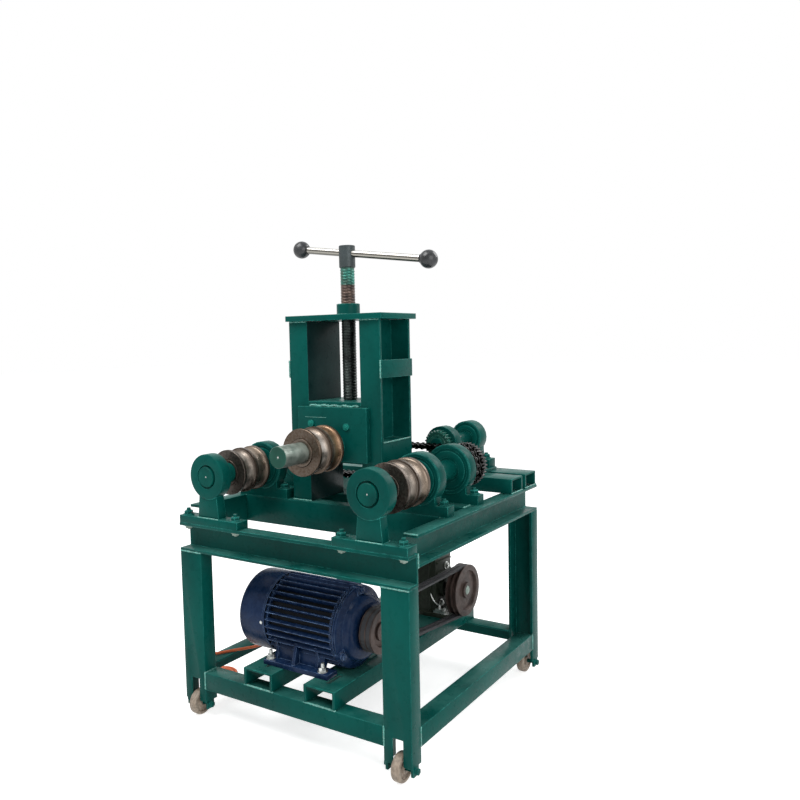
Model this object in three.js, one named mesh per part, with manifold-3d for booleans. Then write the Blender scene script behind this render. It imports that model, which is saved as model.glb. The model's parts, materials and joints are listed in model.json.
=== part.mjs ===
import * as THREE from "three";
import { mergeVertices } from "three/addons/utils/BufferGeometryUtils.js";
import Module from "manifold-3d";

// Electric pipe bending machine: a wheeled channel stand, two driven lower rollers and
// an upper die that a hand screw lowers in a tower. Millimetres, +Z up, front towards -Y.
// The origin is on the floor, midway between the sides and midway between front and rear.

// Clearances and facets
const seatGap = 0.3;
const runningGap = 0.65;
const cutPast = 2;
const weldDepth = 3;
const mergeTolerance = 0.001;
const discFacets = 24;
const shaftFacets = 16;
const smallFacets = 8;
const hexFacets = 6;

// Stand
const standWidth = 760;
const standDepth = 770;
const bedTop = 599.5;
const channel = { depth: 80, flange: 43, web: 5, lip: 8 };
const legClearance = 46;
const frontBeamDrop = 44;
const lowerRailTop = 133.6;
const lowerRailSize = 50;
const lowerRailWall = 5;

// Wheels under the legs
const wheelRadius = 36;
const wheelWidth = 25;
const wheelInset = 18;
const wheelSlotWidth = 30;
const wheelSlotHeight = 65;
const axleRadius = 6;
const axleOverhang = 8;
const axleHeadRadius = 9;
const lugWidth = 26;
const lugBelowAxle = 12;
const treadChamfer = 4;

// Motor rails
const motorRail = { depth: 100, flange: 48, web: 5.3, lip: 8 };
const motorRailLeftX = -102;
const motorRailRightX = 105;
const railSlotWidth = 14;
const railSlotLength = 62;

// Lower roller lines, places along the shaft counted from the front of the stand
const rollerX = 268;
const blockHeight = 93.5;
const shaftRadius = 28;
const shaftFrontOverhang = 2;
const supportThickness = 35;
const supportToRoller = 51;
const rollerLength = 106;
const rollerRadius = 64;
const rollerToBlock = 36;
const frontBlockThickness = 34;
const blockSpacing = 138;
const rearBlockThickness = 35;
const blockToSprocket = 10;
const sprocketToGear = 10;
const shaftRearOverhang = 4;

// Pillow blocks and front supports
const blockRingRadius = 71;
const blockFootHalf = 92;
const blockFootHeight = 28;
const blockNeckHalf = 52;
const blockHeadRadius = 11;
const blockHeadHeight = 9;
const boltEdge = 20;
const supportRingRadius = 62;
const supportFootHalf = 110;
const supportFootHeight = 22;
const supportNeckLowHalf = 39;
const supportNeckHighHalf = 32;
const supportNeckInset = 3;
const boltRadius = 6;
const nutHeight = 11;

// Tower
const tower = { depth: 156, flange: 66, web: 8, lip: 9 };
const towerInner = 90;
const towerSetback = 9;
const towerHeight = 516;
const topPlateLeft = 159;
const topPlateRight = 170;
const topPlateFront = 12;
const topPlateRear = 12;
const topPlateThickness = 15.5;
const nutRadius = 33.5;
const nutHeightAbove = 31;
const strapThickness = 6;
const strapHeight = 48.5;
const strapBelowTop = 111;
const shelfHeight = 181;
const shelfThickness = 8;

// Slide, die shaft and upper die
const dieHeight = 165.5;
const dieRadius = 64;
const dieShaftRadius = 28.5;
const dieShaftFrontOverhang = 8;
const slideBelowDie = 47;
const slideAboveDie = 124;
const slidePlateHalf = 118;
const slidePlateThickness = 14.7;
const slidePlateBelow = 40;
const slidePlateAbove = 110;
const slideBossRadius = 42;
const dieToBoss = 5;
const dieBoreWall = 26;

// Lead screw and tommy bar
const screwRadius = 21;
const screwHeadRadius = 23;
const screwHeadHeight = 62;
const screwHeadAbove = 133;
const barAboveHeadBottom = 41;
const collarRadius = 28;
const collarThickness = 12;
const collarCover = 38;
const neckRadius = 17;
const barRadius = 10;
const barLength = 433;
const barSlip = 52;
const barTilt = THREE.MathUtils.degToRad(7.7);
const knobRadius = 25;
const knobGrip = 11;

// Roller grooves
const flangeWidth = 9;
const grooveHalf = 21.5;
const grooveDepth = 18;
const landWidth = 8;
const grooveSteps = 3;

// Double-row chain between the lower shafts
const chainPitch = 19.05;
const chainTeeth = 17;
const chainPlateHalf = 9;
const chainWidth = 45;
const chainRowPitch = 22.8;
const sprocketToothWidth = 10.6;
const sprocketHubRadius = 38;
const toothAboveCentre = 3;
const toothBelowCentre = 6;
const chainArcSteps = 8;

// Gear pair
const gearModule = 3.5;
const gearTeeth = 36;
const pinionTeeth = 24;
const gearWidth = 22;
const toothDepth = 5.5;
const toothTipShare = 0.35;

// Pinion shaft and its platform
const pinionShaftRadius = 19.5;
const pinionBlockHeight = 93;
const pinionRingRadius = 51.5;
const pinionFootHalf = 80;
const pinionNeckHalf = 40;
const pinionBlockThickness = 35;
const pinionRearBlockThickness = 43;
const gearToBlock = 3;
const blockToChain = 15;
const chainToPlatformChannel = 4.5;
const platformChannelGap = 20.5;
const rearBlockOverhang = 3;
const platformInset = 5;
const platformThickness = 10.5;
const platformLeftMargin = 37;
const platformRightMargin = 3;
const platformRearMargin = 5;

// Single chain to the gearbox
const driveChainPitch = 15.875;
const driveChainTeeth = 13;
const driveChainPlateHalf = 7.5;
const driveChainWidth = 20;
const driveToothWidth = 9;
const driveHubRadius = 22;
const driveToothAbove = 2.4;
const driveToothBelow = 5;
const driveChainSlack = 4;
const driveChainSideSlack = 2.5;

// Worm gearbox
const gearboxX = 55;
const gearboxWidth = 110;
const gearboxDepth = 100;
const gearboxHeight = 254;
const gearboxFlange = 10;
const gearboxFlangeLip = 12;
const gearboxBaseThickness = 14;
const gearboxBaseLeft = 170;
const gearboxBaseRight = 95;
const gearboxBaseLip = 8;
const wormHeight = 86;
const outputHeight = 211;
const outputRadius = 19;
const outputBossRadius = 38;
const outputBossLength = 6;
const wormRadius = 14;
const wormBossRadius = 34;
const wormBossLength = 15;
const gearboxWall = 24;
const gearboxToChain = 12;

// Belt pulleys
const pulleyCentreX = 178.5;
const pulleyWidth = 37;
const motorPulleyRadius = 59;
const wormPulleyRadius = 80;
const beltPitch = 16;
const beltWidth = 13;
const beltThickness = 8;
const beltSeat = 2;
const beltArcSteps = 10;
const pulleyHubRadius = 24;
const pulleyDish = 8;

// Motor
const motorY = -223;
const motorShaftHeight = 112;
const motorBodyFront = 108;
const motorBodyLength = 228;
const motorCoreRadius = 101;
const bellyShare = 0.93;
const motorFinRadius = 111;
const motorFins = 30;
const finWidthShare = 0.3;
const motorShaftRadius = 14;
const fanCoverRadius = 111;
const fanCoverEdge = 8;
const fanCoverLength = 95;
const fanCoverWall = 3;
const fanRadius = 92;
const fanBladeHeight = 22;
const fanBladeThickness = 3;
const fanBlades = 5;
const fanHubRadius = 30;
const fanSetback = 30;
const grilleSlots = 10;
const grilleSlotWidth = 12;
const grilleInner = 34;
const grilleOuter = 88;
const shieldRadius = 110;
const shieldRim = 12;
const shieldLength = 44;
const shieldDrumRadius = 88;
const shieldNeckRadius = 66;
const shieldBossRadius = 36;
const shieldBossLength = 6;
const footLength = 219;
const footHalfSpan = 117;
const footWidth = 44;
const footThickness = 14;
const footRibWidth = 18;
const footRearRibInset = 24;
const footFrontRibInset = 73;
const footRibTop = 70;
const terminalWidth = 92;
const terminalHeight = 78;
const terminalDepth = 46;
const terminalX = -40;

// Mains cable: gland on the terminal box, coil of the spare length, and the plug
const cordRadius = 4.25;
const cordSides = 8;
const cordSteps = 46;
const glandRadius = 13;
const glandLength = 22;
const glandTipRadius = 8;
const glandInset = 35;
const glandDrop = 19;
const coilX = -432;
const coilY = -204;
const coilOuter = 54.6;
const coilTurnPitch = 10.5;
const coilLayerPitch = 9.5;
const coilLayers = 4;
const coilLayerTurns = 1.375;
const coilClimbTurns = 0.5;
const coilStepsPerTurn = 24;
const coilSides = 6;
const plugX = -380;
const plugY = -136;
const plugWidth = 42;
const plugHeight = 30;
const plugLength = 40;
const plugNoseRadius = 10;
const plugNoseTipRadius = 7;
const plugNoseLength = 20;
const plugEdge = 6;
const pinLength = 18;
const pinWidth = 6;
const pinThickness = 2;
const pinSpacing = 12;

// Colours and surface of each kind of material
const green = { color: 0x0f5a4a, roughness: 0.45, metalness: 0.3 };
const navy = { color: 0x1a2f4c, roughness: 0.5, metalness: 0.2 };
const bareSteel = { color: 0xa79f94, roughness: 0.35, metalness: 0.9 };
const darkSteel = { color: 0x4a4844, roughness: 0.5, metalness: 0.8 };
const brownIron = { color: 0x4b3c37, roughness: 0.6, metalness: 0.6 };
const darkIron = { color: 0x24292a, roughness: 0.6, metalness: 0.4 };
const chrome = { color: 0xd8d6cc, roughness: 0.15, metalness: 1 };
const blackPlastic = { color: 0x111214, roughness: 0.3, metalness: 0 };
const beltRubber = { color: 0x16171a, roughness: 0.8, metalness: 0 };
const cableOrange = { color: 0xd2622e, roughness: 0.5, metalness: 0 };
const wheelPlastic = { color: 0x968778, roughness: 0.6, metalness: 0 };

const half = (size) => size / 2;
const front = -half(standDepth);
const quarterTurn = half(Math.PI);

const wasm = await Module();
wasm.setup();

// A closed geometry as a solid, with its faces turned outwards.
function solidOf(shape) {
  if (!shape.isBufferGeometry) return shape;
  const bare = shape.clone();
  bare.deleteAttribute("normal");
  bare.deleteAttribute("uv");
  const merged = mergeVertices(bare, mergeTolerance);
  const corners = [];
  const index = merged.index.array;
  for (let i = 0; i < index.length; i += 3) {
    const [a, b, c] = index.slice(i, i + 3);
    if (a !== b && b !== c && c !== a) corners.push(a, b, c);
  }
  const build = (triVerts) =>
    new wasm.Manifold(
      new wasm.Mesh({
        numProp: 3,
        vertProperties: merged.attributes.position.array,
        triVerts,
      }),
    );
  const solid = build(new Uint32Array(corners));
  return solid.volume() < 0 ? build(new Uint32Array(corners).reverse()) : solid;
}

const join = (...shapes) => shapes.map(solidOf).reduce((a, b) => a.add(b));
const cut = (base, ...tools) => tools.map(solidOf).reduce((a, b) => a.subtract(b), solidOf(base));

function piece(parent, name, shape, look) {
  const made = solidOf(shape).getMesh();
  const geometry = new THREE.BufferGeometry();
  geometry.setAttribute("position", new THREE.BufferAttribute(made.vertProperties, 3));
  geometry.setIndex(new THREE.BufferAttribute(made.triVerts, 1));
  geometry.computeVertexNormals();
  const mesh = new THREE.Mesh(geometry, new THREE.MeshStandardMaterial(look));
  mesh.name = name;
  parent.add(mesh);
}

function groupAt(parent, x, y, z) {
  const group = new THREE.Group();
  group.position.set(x, y, z);
  parent.add(group);
  return group;
}

function block(x0, x1, y0, y1, z0, z1) {
  const box = new THREE.BoxGeometry(x1 - x0, y1 - y0, z1 - z0);
  return box.translate(half(x0 + x1), half(y0 + y1), half(z0 + z1));
}

// Turns a shape whose run is along Z so that it runs along another axis. The outline's
// own two axes become (Y, Z) for a run along X and (X, Z) for a run along Y.
const runAlong = {
  x: new THREE.Matrix4().set(0, 0, 1, 0, 1, 0, 0, 0, 0, 1, 0, 0, 0, 0, 0, 1),
  y: new THREE.Matrix4().set(1, 0, 0, 0, 0, 0, 1, 0, 0, 1, 0, 0, 0, 0, 0, 1),
  z: new THREE.Matrix4(),
};

const toPoints = (outline) => outline.map(([u, v]) => new THREE.Vector2(u, v));

function prism(axis, outline, from, to, holes = []) {
  const shape = new THREE.Shape(toPoints(outline));
  holes.forEach((hole) => shape.holes.push(new THREE.Path(toPoints(hole))));
  const extruded = new THREE.ExtrudeGeometry(shape, {
    depth: to - from,
    bevelEnabled: false,
    steps: 1,
  });
  return extruded.translate(0, 0, from).applyMatrix4(runAlong[axis]);
}

// A turned shape round an axis through (u, v), from points given as [along, radius].
function turned(axis, profile, facets, u = 0, v = 0) {
  const open = profile[0][1] === 0;
  const closed = open ? profile : [...profile, profile[0]];
  const points = closed.map(([along, radius]) => new THREE.Vector2(radius, along));
  const lathe = new THREE.LatheGeometry(points, facets).rotateX(quarterTurn);
  return lathe.translate(u, v, 0).applyMatrix4(runAlong[axis]);
}

function rod(axis, radius, from, to, facets = shaftFacets, u = 0, v = 0) {
  return turned(axis, [[from, 0], [from, radius], [to, radius], [to, 0]], facets, u, v);
}

// Outline of a channel whose web lies on the line u = web and whose flanges point along
// side, with its depth along v from low.
function channelOutline(size, web, side, low, swapped = false) {
  const high = low + size.depth;
  const inside = web + side * size.web;
  const tip = web + side * size.flange;
  const outline = [
    [web, low],
    [web, high],
    [tip, high],
    [tip, high - size.lip],
    [inside, high - size.lip],
    [inside, low + size.lip],
    [tip, low + size.lip],
    [tip, low],
  ];
  return swapped ? outline.map(([u, v]) => [v, u]) : outline;
}

function toothedOutline(teeth, rootRadius, tipRadius, tipShare) {
  const outline = [];
  const step = (2 * Math.PI) / teeth;
  for (let tooth = 0; tooth < teeth; tooth += 1) {
    const corners = [
      [-0.5 + half(tipShare), rootRadius],
      [half(-tipShare), tipRadius],
      [half(tipShare), tipRadius],
      [0.5 - half(tipShare), rootRadius],
    ];
    corners.forEach(([place, radius]) => {
      const angle = (tooth + place) * step;
      outline.push([radius * Math.cos(angle), radius * Math.sin(angle)]);
    });
  }
  return outline;
}

function pointedOutline(teeth, rootRadius, tipRadius) {
  return Array.from({ length: 2 * teeth }, (_, i) => {
    const radius = i % 2 === 0 ? tipRadius : rootRadius;
    const angle = (Math.PI * i) / teeth;
    return [radius * Math.cos(angle), radius * Math.sin(angle)];
  });
}

// Outline of a band laid tightly round two circles.
function bandOutline(firstCentre, firstRadius, secondCentre, secondRadius, arcSteps) {
  const du = secondCentre[0] - firstCentre[0];
  const dv = secondCentre[1] - firstCentre[1];
  const heading = Math.atan2(dv, du);
  const spread = Math.acos((firstRadius - secondRadius) / Math.hypot(du, dv));
  const outline = [];
  const arc = (centre, radius, from, to) => {
    for (let i = 0; i <= arcSteps; i += 1) {
      const angle = from + ((to - from) * i) / arcSteps;
      outline.push([centre[0] + radius * Math.cos(angle), centre[1] + radius * Math.sin(angle)]);
    }
  };
  arc(secondCentre, secondRadius, heading - spread, heading + spread);
  arc(firstCentre, firstRadius, heading + spread, heading + 2 * Math.PI - spread);
  return outline;
}

const pitchRadius = (pitch, teeth) => half(pitch) / Math.sin(Math.PI / teeth);

const machine = new THREE.Group();

// Heights and places that several pieces share
const sideBeamBottom = bedTop - channel.depth;
const frontBeamTop = bedTop - frontBeamDrop;
const frontBeamBottom = frontBeamTop - channel.depth;
const sideWebX = half(standWidth) - channel.flange;
const motorRailTop = lowerRailTop + motorRail.flange + seatGap;
const rollerHeight = bedTop + blockHeight;
const rollerStart = front + supportThickness + supportToRoller;
const frontBlockStart = rollerStart + rollerLength + rollerToBlock;
const frontBlockEnd = frontBlockStart + frontBlockThickness;
const rearBlockStart = frontBlockEnd + blockSpacing;
const rearBlockEnd = rearBlockStart + rearBlockThickness;
const chainStart = rearBlockEnd + blockToSprocket;
const chainMiddle = chainStart + half(chainWidth);
const gearStart = chainStart + chainWidth + sprocketToGear;
const gearEnd = gearStart + gearWidth;
const pinionBlockStart = gearEnd + gearToBlock;
const pinionBlockEnd = pinionBlockStart + pinionBlockThickness;
const driveChainMiddle = pinionBlockEnd + blockToChain;
const driveChainHalf = half(driveChainWidth);
const platformChannelStart = driveChainMiddle + driveChainHalf + chainToPlatformChannel;
const rearChannelStart = platformChannelStart + channel.depth + platformChannelGap;
const pinionRearStart = rearChannelStart - rearBlockOverhang;
const pinionRearEnd = pinionRearStart + pinionRearBlockThickness;
const platformBottom = bedTop + seatGap + channel.flange;
const platformTop = platformBottom + platformThickness;
const pinionHeight = platformTop + pinionBlockHeight;
const towerFront = frontBlockStart + towerSetback;
const towerMiddle = towerFront + half(tower.depth);
const gearDistance = half(gearModule * (gearTeeth + pinionTeeth)) + runningGap;
const pinionX = rollerX - Math.sqrt(gearDistance ** 2 - (pinionHeight - rollerHeight) ** 2);

// Legs with the axle of their wheel, and the wheels
function legShape(top) {
  const axleHeight = wheelRadius;
  const outer = half(channel.depth);
  const inner = outer - channel.lip;
  const web = channelOutline(channel, 0, 1, -outer, true);
  const slot = block(
    -half(wheelSlotWidth),
    half(wheelSlotWidth),
    -cutPast,
    channel.web + cutPast,
    legClearance - cutPast,
    legClearance + wheelSlotHeight,
  );
  const lugs = [-1, 1].map((side) =>
    block(
      side > 0 ? inner : -outer,
      side > 0 ? outer : -inner,
      wheelInset - half(lugWidth),
      wheelInset + half(lugWidth),
      axleHeight - lugBelowAxle,
      legClearance + weldDepth,
    ),
  );
  const reach = outer + axleOverhang;
  const axle = rod("x", axleRadius, -reach, reach, smallFacets, wheelInset, axleHeight);
  const heads = [-reach, outer - cutPast].map((start) =>
    rod(
      "x",
      axleHeadRadius,
      start,
      start + axleOverhang + cutPast,
      hexFacets,
      wheelInset,
      axleHeight,
    ),
  );
  return join(cut(prism("z", web, legClearance, top), slot), ...lugs, axle, ...heads);
}

function wheelShape() {
  const tread = wheelRadius / Math.cos(Math.PI / discFacets);
  const bore = axleRadius + runningGap;
  const face = half(wheelWidth);
  const profile = [
    [-face, bore],
    [-face, tread - treadChamfer],
    [-half(face), tread],
    [half(face), tread],
    [face, tread - treadChamfer],
    [face, bore],
  ];
  return turned("x", profile, discFacets).rotateX(Math.PI / discFacets);
}

const cornerNames = [
  ["front_left", -1, -1, frontBeamBottom],
  ["front_right", 1, -1, frontBeamBottom],
  ["rear_left", -1, 1, sideBeamBottom],
  ["rear_right", 1, 1, sideBeamBottom],
];
cornerNames.forEach(([corner, side, end, top]) => {
  const legX = side * (half(standWidth) - half(channel.depth));
  const leg = groupAt(machine, legX, end * half(standDepth), 0);
  leg.rotation.z = end > 0 ? Math.PI : 0;
  piece(leg, "leg_" + corner, legShape(top - seatGap), green);
  const wheel = groupAt(leg, 0, wheelInset, wheelRadius);
  piece(wheel, "caster_wheel_" + corner, wheelShape(), wheelPlastic);
});

// Lower rails, of angle with one face up and one face out
function angleOutline(outer, inward) {
  const top = lowerRailTop;
  return [
    [outer, top],
    [outer + inward * lowerRailSize, top],
    [outer + inward * lowerRailSize, top - lowerRailWall],
    [outer + inward * lowerRailWall, top - lowerRailWall],
    [outer + inward * lowerRailWall, top - lowerRailSize],
    [outer, top - lowerRailSize],
  ];
}
const endRailHalf = half(standWidth) - channel.depth - seatGap;
const sideRailHalf = half(standDepth) - channel.flange - seatGap;
const railEnds = [
  ["lower_rail_front", "x", angleOutline(front, 1), endRailHalf],
  ["lower_rail_rear", "x", angleOutline(-front, -1), endRailHalf],
  ["lower_rail_left", "y", angleOutline(-half(standWidth), 1), sideRailHalf],
  ["lower_rail_right", "y", angleOutline(half(standWidth), -1), sideRailHalf],
];
railEnds.forEach(([name, axis, outline, reach]) => {
  piece(machine, name, prism(axis, outline, -reach, reach), green);
});

// Front beam, open to the front, drilled for the bolts of the two front supports
const frontWebY = front + channel.flange;
const supportBoltReach = supportFootHalf - boltEdge;
const supportBoltY = front + half(channel.flange) - channel.web;
const supportBoltHoles = [-1, 1].flatMap((side) =>
  [-1, 1].map((end) =>
    rod(
      "z",
      boltRadius + runningGap,
      frontBeamTop - channel.lip - cutPast,
      frontBeamTop + cutPast,
      smallFacets,
      side * rollerX + end * supportBoltReach,
      supportBoltY,
    ),
  ),
);
const frontBeamOutline = channelOutline(channel, frontWebY, -1, frontBeamBottom);
const frontBeamBar = prism("x", frontBeamOutline, -half(standWidth), half(standWidth));
piece(machine, "front_beam", cut(frontBeamBar, ...supportBoltHoles), green);

// Side beams, open outwards, and the two cross members between their webs
[["left", -1], ["right", 1]].forEach(([name, side]) => {
  const outline = channelOutline(channel, side * sideWebX, side, sideBeamBottom);
  const bar = prism("y", outline, frontWebY + seatGap, -front);
  piece(machine, "side_beam_" + name, bar, green);
});
const crossHalf = sideWebX - seatGap;
const crossFrontOutline = channelOutline(channel, frontBlockStart, 1, sideBeamBottom);
const crossFront = prism("x", crossFrontOutline, -crossHalf, crossHalf);
piece(machine, "cross_member_front", crossFront, green);
const crossRearLow = rearBlockStart - half(channel.depth);
const crossRearOutline = channelOutline(channel, bedTop, -1, crossRearLow, true);
const crossRear = prism("x", crossRearOutline, -crossHalf, crossHalf);
piece(machine, "cross_member_rear", crossRear, green);

// Motor rails, laid across the front and rear lower rails, slotted for the motor feet
const footMiddle = footHalfSpan - half(footWidth);
const motorFootY = [motorY - footMiddle, motorY + footMiddle];
[["left", motorRailLeftX], ["right", motorRailRightX]].forEach(([name, x]) => {
  const low = x - half(motorRail.depth);
  const outline = channelOutline(motorRail, motorRailTop, -1, low, true);
  const bar = prism("y", outline, front, -front);
  const slots = motorFootY.map((y) =>
    block(
      x - half(railSlotWidth),
      x + half(railSlotWidth),
      y - half(railSlotLength),
      y + half(railSlotLength),
      motorRailTop - motorRail.web - cutPast,
      motorRailTop + cutPast,
    ),
  );
  piece(machine, "motor_rail_" + name, cut(bar, ...slots), green);
});

// A hexagon head on a washer, standing on a flat top
function boltHead(x, y, z) {
  const washer = rod("z", blockHeadRadius + cutPast, z - weldDepth, z + cutPast, smallFacets, x, y);
  const head = rod("z", blockHeadRadius, z, z + blockHeadHeight, hexFacets, x, y);
  return join(washer, head);
}

// A pillow block round a shaft on the group's axis, with its foot below
function pillowShape(size, from, to) {
  const middle = half(from + to);
  const footTop = size.foot - size.height;
  const foot = block(-size.reach, size.reach, from, to, seatGap - size.height, footTop);
  const neckLow = size.neck + weldDepth;
  const neckOutline = [
    [-neckLow, footTop - weldDepth],
    [neckLow, footTop - weldDepth],
    [size.neck, 0],
    [-size.neck, 0],
  ];
  const neck = prism("y", neckOutline, from, to);
  const ring = rod("y", size.ring, from, to, discFacets);
  const heads = [-1, 1].map((side) => boltHead(side * (size.reach - boltEdge), middle, footTop));
  const bore = rod("y", size.bore + runningGap, from - cutPast, to + cutPast);
  return cut(join(foot, neck, ring, ...heads), bore);
}

const rollerBlock = {
  reach: blockFootHalf,
  height: blockHeight,
  foot: blockFootHeight,
  neck: blockNeckHalf,
  ring: blockRingRadius,
  bore: shaftRadius,
};
const pinionBlock = {
  reach: pinionFootHalf,
  height: pinionBlockHeight,
  foot: blockFootHeight,
  neck: pinionNeckHalf,
  ring: pinionRingRadius,
  bore: pinionShaftRadius,
};

// Front support: a ring on a tapered pedestal and a foot plate bolted to the front beam
function supportShape() {
  const footBottom = frontBeamTop + seatGap - rollerHeight;
  const footTop = frontBeamTop + supportFootHeight - rollerHeight;
  const footRear = front + channel.flange;
  const foot = block(-supportFootHalf, supportFootHalf, front, footRear, footBottom, footTop);
  const neckOutline = [
    [-supportNeckLowHalf, footTop - weldDepth],
    [supportNeckLowHalf, footTop - weldDepth],
    [supportNeckHighHalf, 0],
    [-supportNeckHighHalf, 0],
  ];
  const neckFront = front + supportNeckInset;
  const neckRear = front + supportThickness - supportNeckInset;
  const neck = prism("y", neckOutline, neckFront, neckRear);
  const ring = rod("y", supportRingRadius, front, front + supportThickness, discFacets);
  const underFlange = frontBeamTop - channel.lip - seatGap - rollerHeight;
  const bolts = [-1, 1].map((end) => {
    const x = end * supportBoltReach;
    const low = underFlange - nutHeight;
    const shank = rod("z", boltRadius, low, footTop, smallFacets, x, supportBoltY);
    const nut = rod("z", blockHeadRadius, low, underFlange, hexFacets, x, supportBoltY);
    return join(shank, nut, boltHead(x, supportBoltY, footTop));
  });
  const ringEnd = front + supportThickness + cutPast;
  const bore = rod("y", shaftRadius + runningGap, front - cutPast, ringEnd);
  return join(cut(join(foot, neck, ring), bore), ...bolts);
}

// Rollers and die, with one round groove for the pipe and one shallow waist behind it
function grooveArc(centre, halfWidth, depth, outer) {
  const points = [];
  for (let i = 0; i <= grooveSteps; i += 1) {
    const angle = (Math.PI * i) / grooveSteps;
    points.push([centre - halfWidth * Math.cos(angle), outer - depth * Math.sin(angle)]);
  }
  return points;
}

function rollerShape(from, length, radius, bore) {
  const to = from + length;
  const firstCentre = from + flangeWidth + grooveHalf;
  const waistStart = firstCentre + grooveHalf + landWidth;
  const waistEnd = to - landWidth;
  const waistHalf = half(waistEnd - waistStart);
  const profile = [
    [from, bore],
    [from, radius],
    ...grooveArc(firstCentre, grooveHalf, grooveDepth, radius),
    ...grooveArc(waistStart + waistHalf, waistHalf, half(grooveDepth), radius),
    [to, radius],
    [to, bore],
  ];
  return turned("y", profile, discFacets);
}

// Sprockets: toothed discs on a hub, cut out for the shaft
function sprocketSolid(pitch, teeth, below, above, width, middles, axisU = 0, axisV = 0) {
  const centre = pitchRadius(pitch, teeth);
  const outline = pointedOutline(teeth, centre - below, centre + above);
  const placed = outline.map(([u, v]) => [u + axisU, v + axisV]);
  return join(...middles.map((m) => prism("y", placed, m - half(width), m + half(width))));
}

const doubleRows = [chainMiddle - half(chainRowPitch), chainMiddle + half(chainRowPitch)];
const chainSprocket = () =>
  join(
    sprocketSolid(
      chainPitch,
      chainTeeth,
      toothBelowCentre,
      toothAboveCentre,
      sprocketToothWidth,
      doubleRows,
    ),
    rod("y", sprocketHubRadius, chainStart, chainStart + chainWidth),
  );

const lineRight = groupAt(machine, rollerX, 0, rollerHeight);
const lineLeft = groupAt(machine, -rollerX, 0, rollerHeight);
const shaftFront = front - shaftFrontOverhang;
const rightShaftRear = gearEnd + half(gearToBlock);
const leftShaftRear = chainStart + chainWidth + shaftRearOverhang;
const rollerBore = shaftRadius + seatGap;
[["left", lineLeft], ["right", lineRight]].forEach(([name, line]) => {
  piece(line, "outboard_support_" + name, supportShape(), green);
  const frontBlock = pillowShape(rollerBlock, frontBlockStart, frontBlockEnd);
  piece(line, "pillow_block_front_" + name, frontBlock, green);
  const rearBlock = pillowShape(rollerBlock, rearBlockStart, rearBlockEnd);
  piece(line, "pillow_block_rear_" + name, rearBlock, green);
  const roller = rollerShape(rollerStart, rollerLength, rollerRadius, rollerBore);
  piece(line, "lower_roller_" + name, roller, bareSteel);
});
const shaftBore = rod("y", rollerBore, chainStart - cutPast, gearEnd + cutPast);
piece(lineRight, "roller_shaft_right", rod("y", shaftRadius, shaftFront, rightShaftRear), darkSteel);
piece(lineRight, "chain_sprocket_right", cut(chainSprocket(), shaftBore), darkSteel);
const leftShaft = rod("y", shaftRadius, shaftFront, leftShaftRear);
piece(lineLeft, "roller_shaft_left", join(leftShaft, chainSprocket()), darkSteel);
const gearTip = half(gearModule * gearTeeth);
const gearOutline = toothedOutline(gearTeeth, gearTip - toothDepth, gearTip, toothTipShare);
const gearDisc = prism("y", gearOutline, gearStart, gearEnd);
piece(lineRight, "drive_gear", cut(gearDisc, shaftBore), darkIron);

// A chain as a comb-shaped band: side plates that reach in past the teeth, and a back
function chainShape(size, firstCentre, secondCentre, middles) {
  const centreRadius = pitchRadius(size.pitch, size.teeth);
  const loop = (radius) => bandOutline(firstCentre, radius, secondCentre, radius, chainArcSteps);
  const outer = loop(centreRadius + size.plate);
  const inner = loop(centreRadius - size.plate);
  const toothTip = centreRadius + size.above + runningGap;
  const back = loop(toothTip / Math.cos(half(Math.PI) / chainArcSteps));
  const from = size.middle - half(size.width);
  const to = size.middle + half(size.width);
  const slots = middles.map((m) => {
    const reach = half(size.tooth) + runningGap;
    return prism("y", back, m - reach, m + reach);
  });
  return cut(prism("y", outer, from, to, [inner]), ...slots);
}

const doubleChain = {
  pitch: chainPitch,
  teeth: chainTeeth,
  plate: chainPlateHalf,
  above: toothAboveCentre,
  tooth: sprocketToothWidth,
  width: chainWidth,
  middle: chainMiddle,
};
const leftAxis = [-rollerX, rollerHeight];
const rightAxis = [rollerX, rollerHeight];
piece(machine, "roller_chain", chainShape(doubleChain, leftAxis, rightAxis, doubleRows), darkIron);

// Platform for the pinion shaft: two cross channels on the side beams and a plate on them
const platformHalf = half(standWidth) - platformInset;
const platformLeft = pinionX - pinionFootHalf - platformLeftMargin;
const platformRight = pinionX + pinionFootHalf + platformRightMargin;
const plateFront = gearEnd + half(gearToBlock);
const plateRear = pinionRearEnd + platformRearMargin;
const plate = block(platformLeft, platformRight, plateFront, plateRear, platformBottom, platformTop);
const platformChannels = [platformChannelStart, rearChannelStart].map((low) =>
  prism("x", channelOutline(channel, platformBottom, -1, low, true), -platformHalf, platformHalf),
);
const outputAxis = [gearboxX, motorRailTop + outputHeight];
const pinionAxis = [pinionX, pinionHeight];
const driveCentreRadius = pitchRadius(driveChainPitch, driveChainTeeth);
const driveOuter = driveCentreRadius + driveChainPlateHalf;
const slope = (pinionX - gearboxX) / (pinionHeight - outputAxis[1]);
const crossingX = pinionX - slope * (pinionHeight - platformBottom - half(platformThickness));
const openingHalf = driveOuter * Math.hypot(1, slope) + driveChainSlack;
const opening = block(
  crossingX - openingHalf,
  crossingX + openingHalf,
  driveChainMiddle - driveChainHalf - driveChainSideSlack,
  driveChainMiddle + driveChainHalf + driveChainSideSlack,
  platformBottom - cutPast,
  platformTop + cutPast,
);
piece(machine, "bearing_platform", join(cut(plate, opening), ...platformChannels), green);

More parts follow.
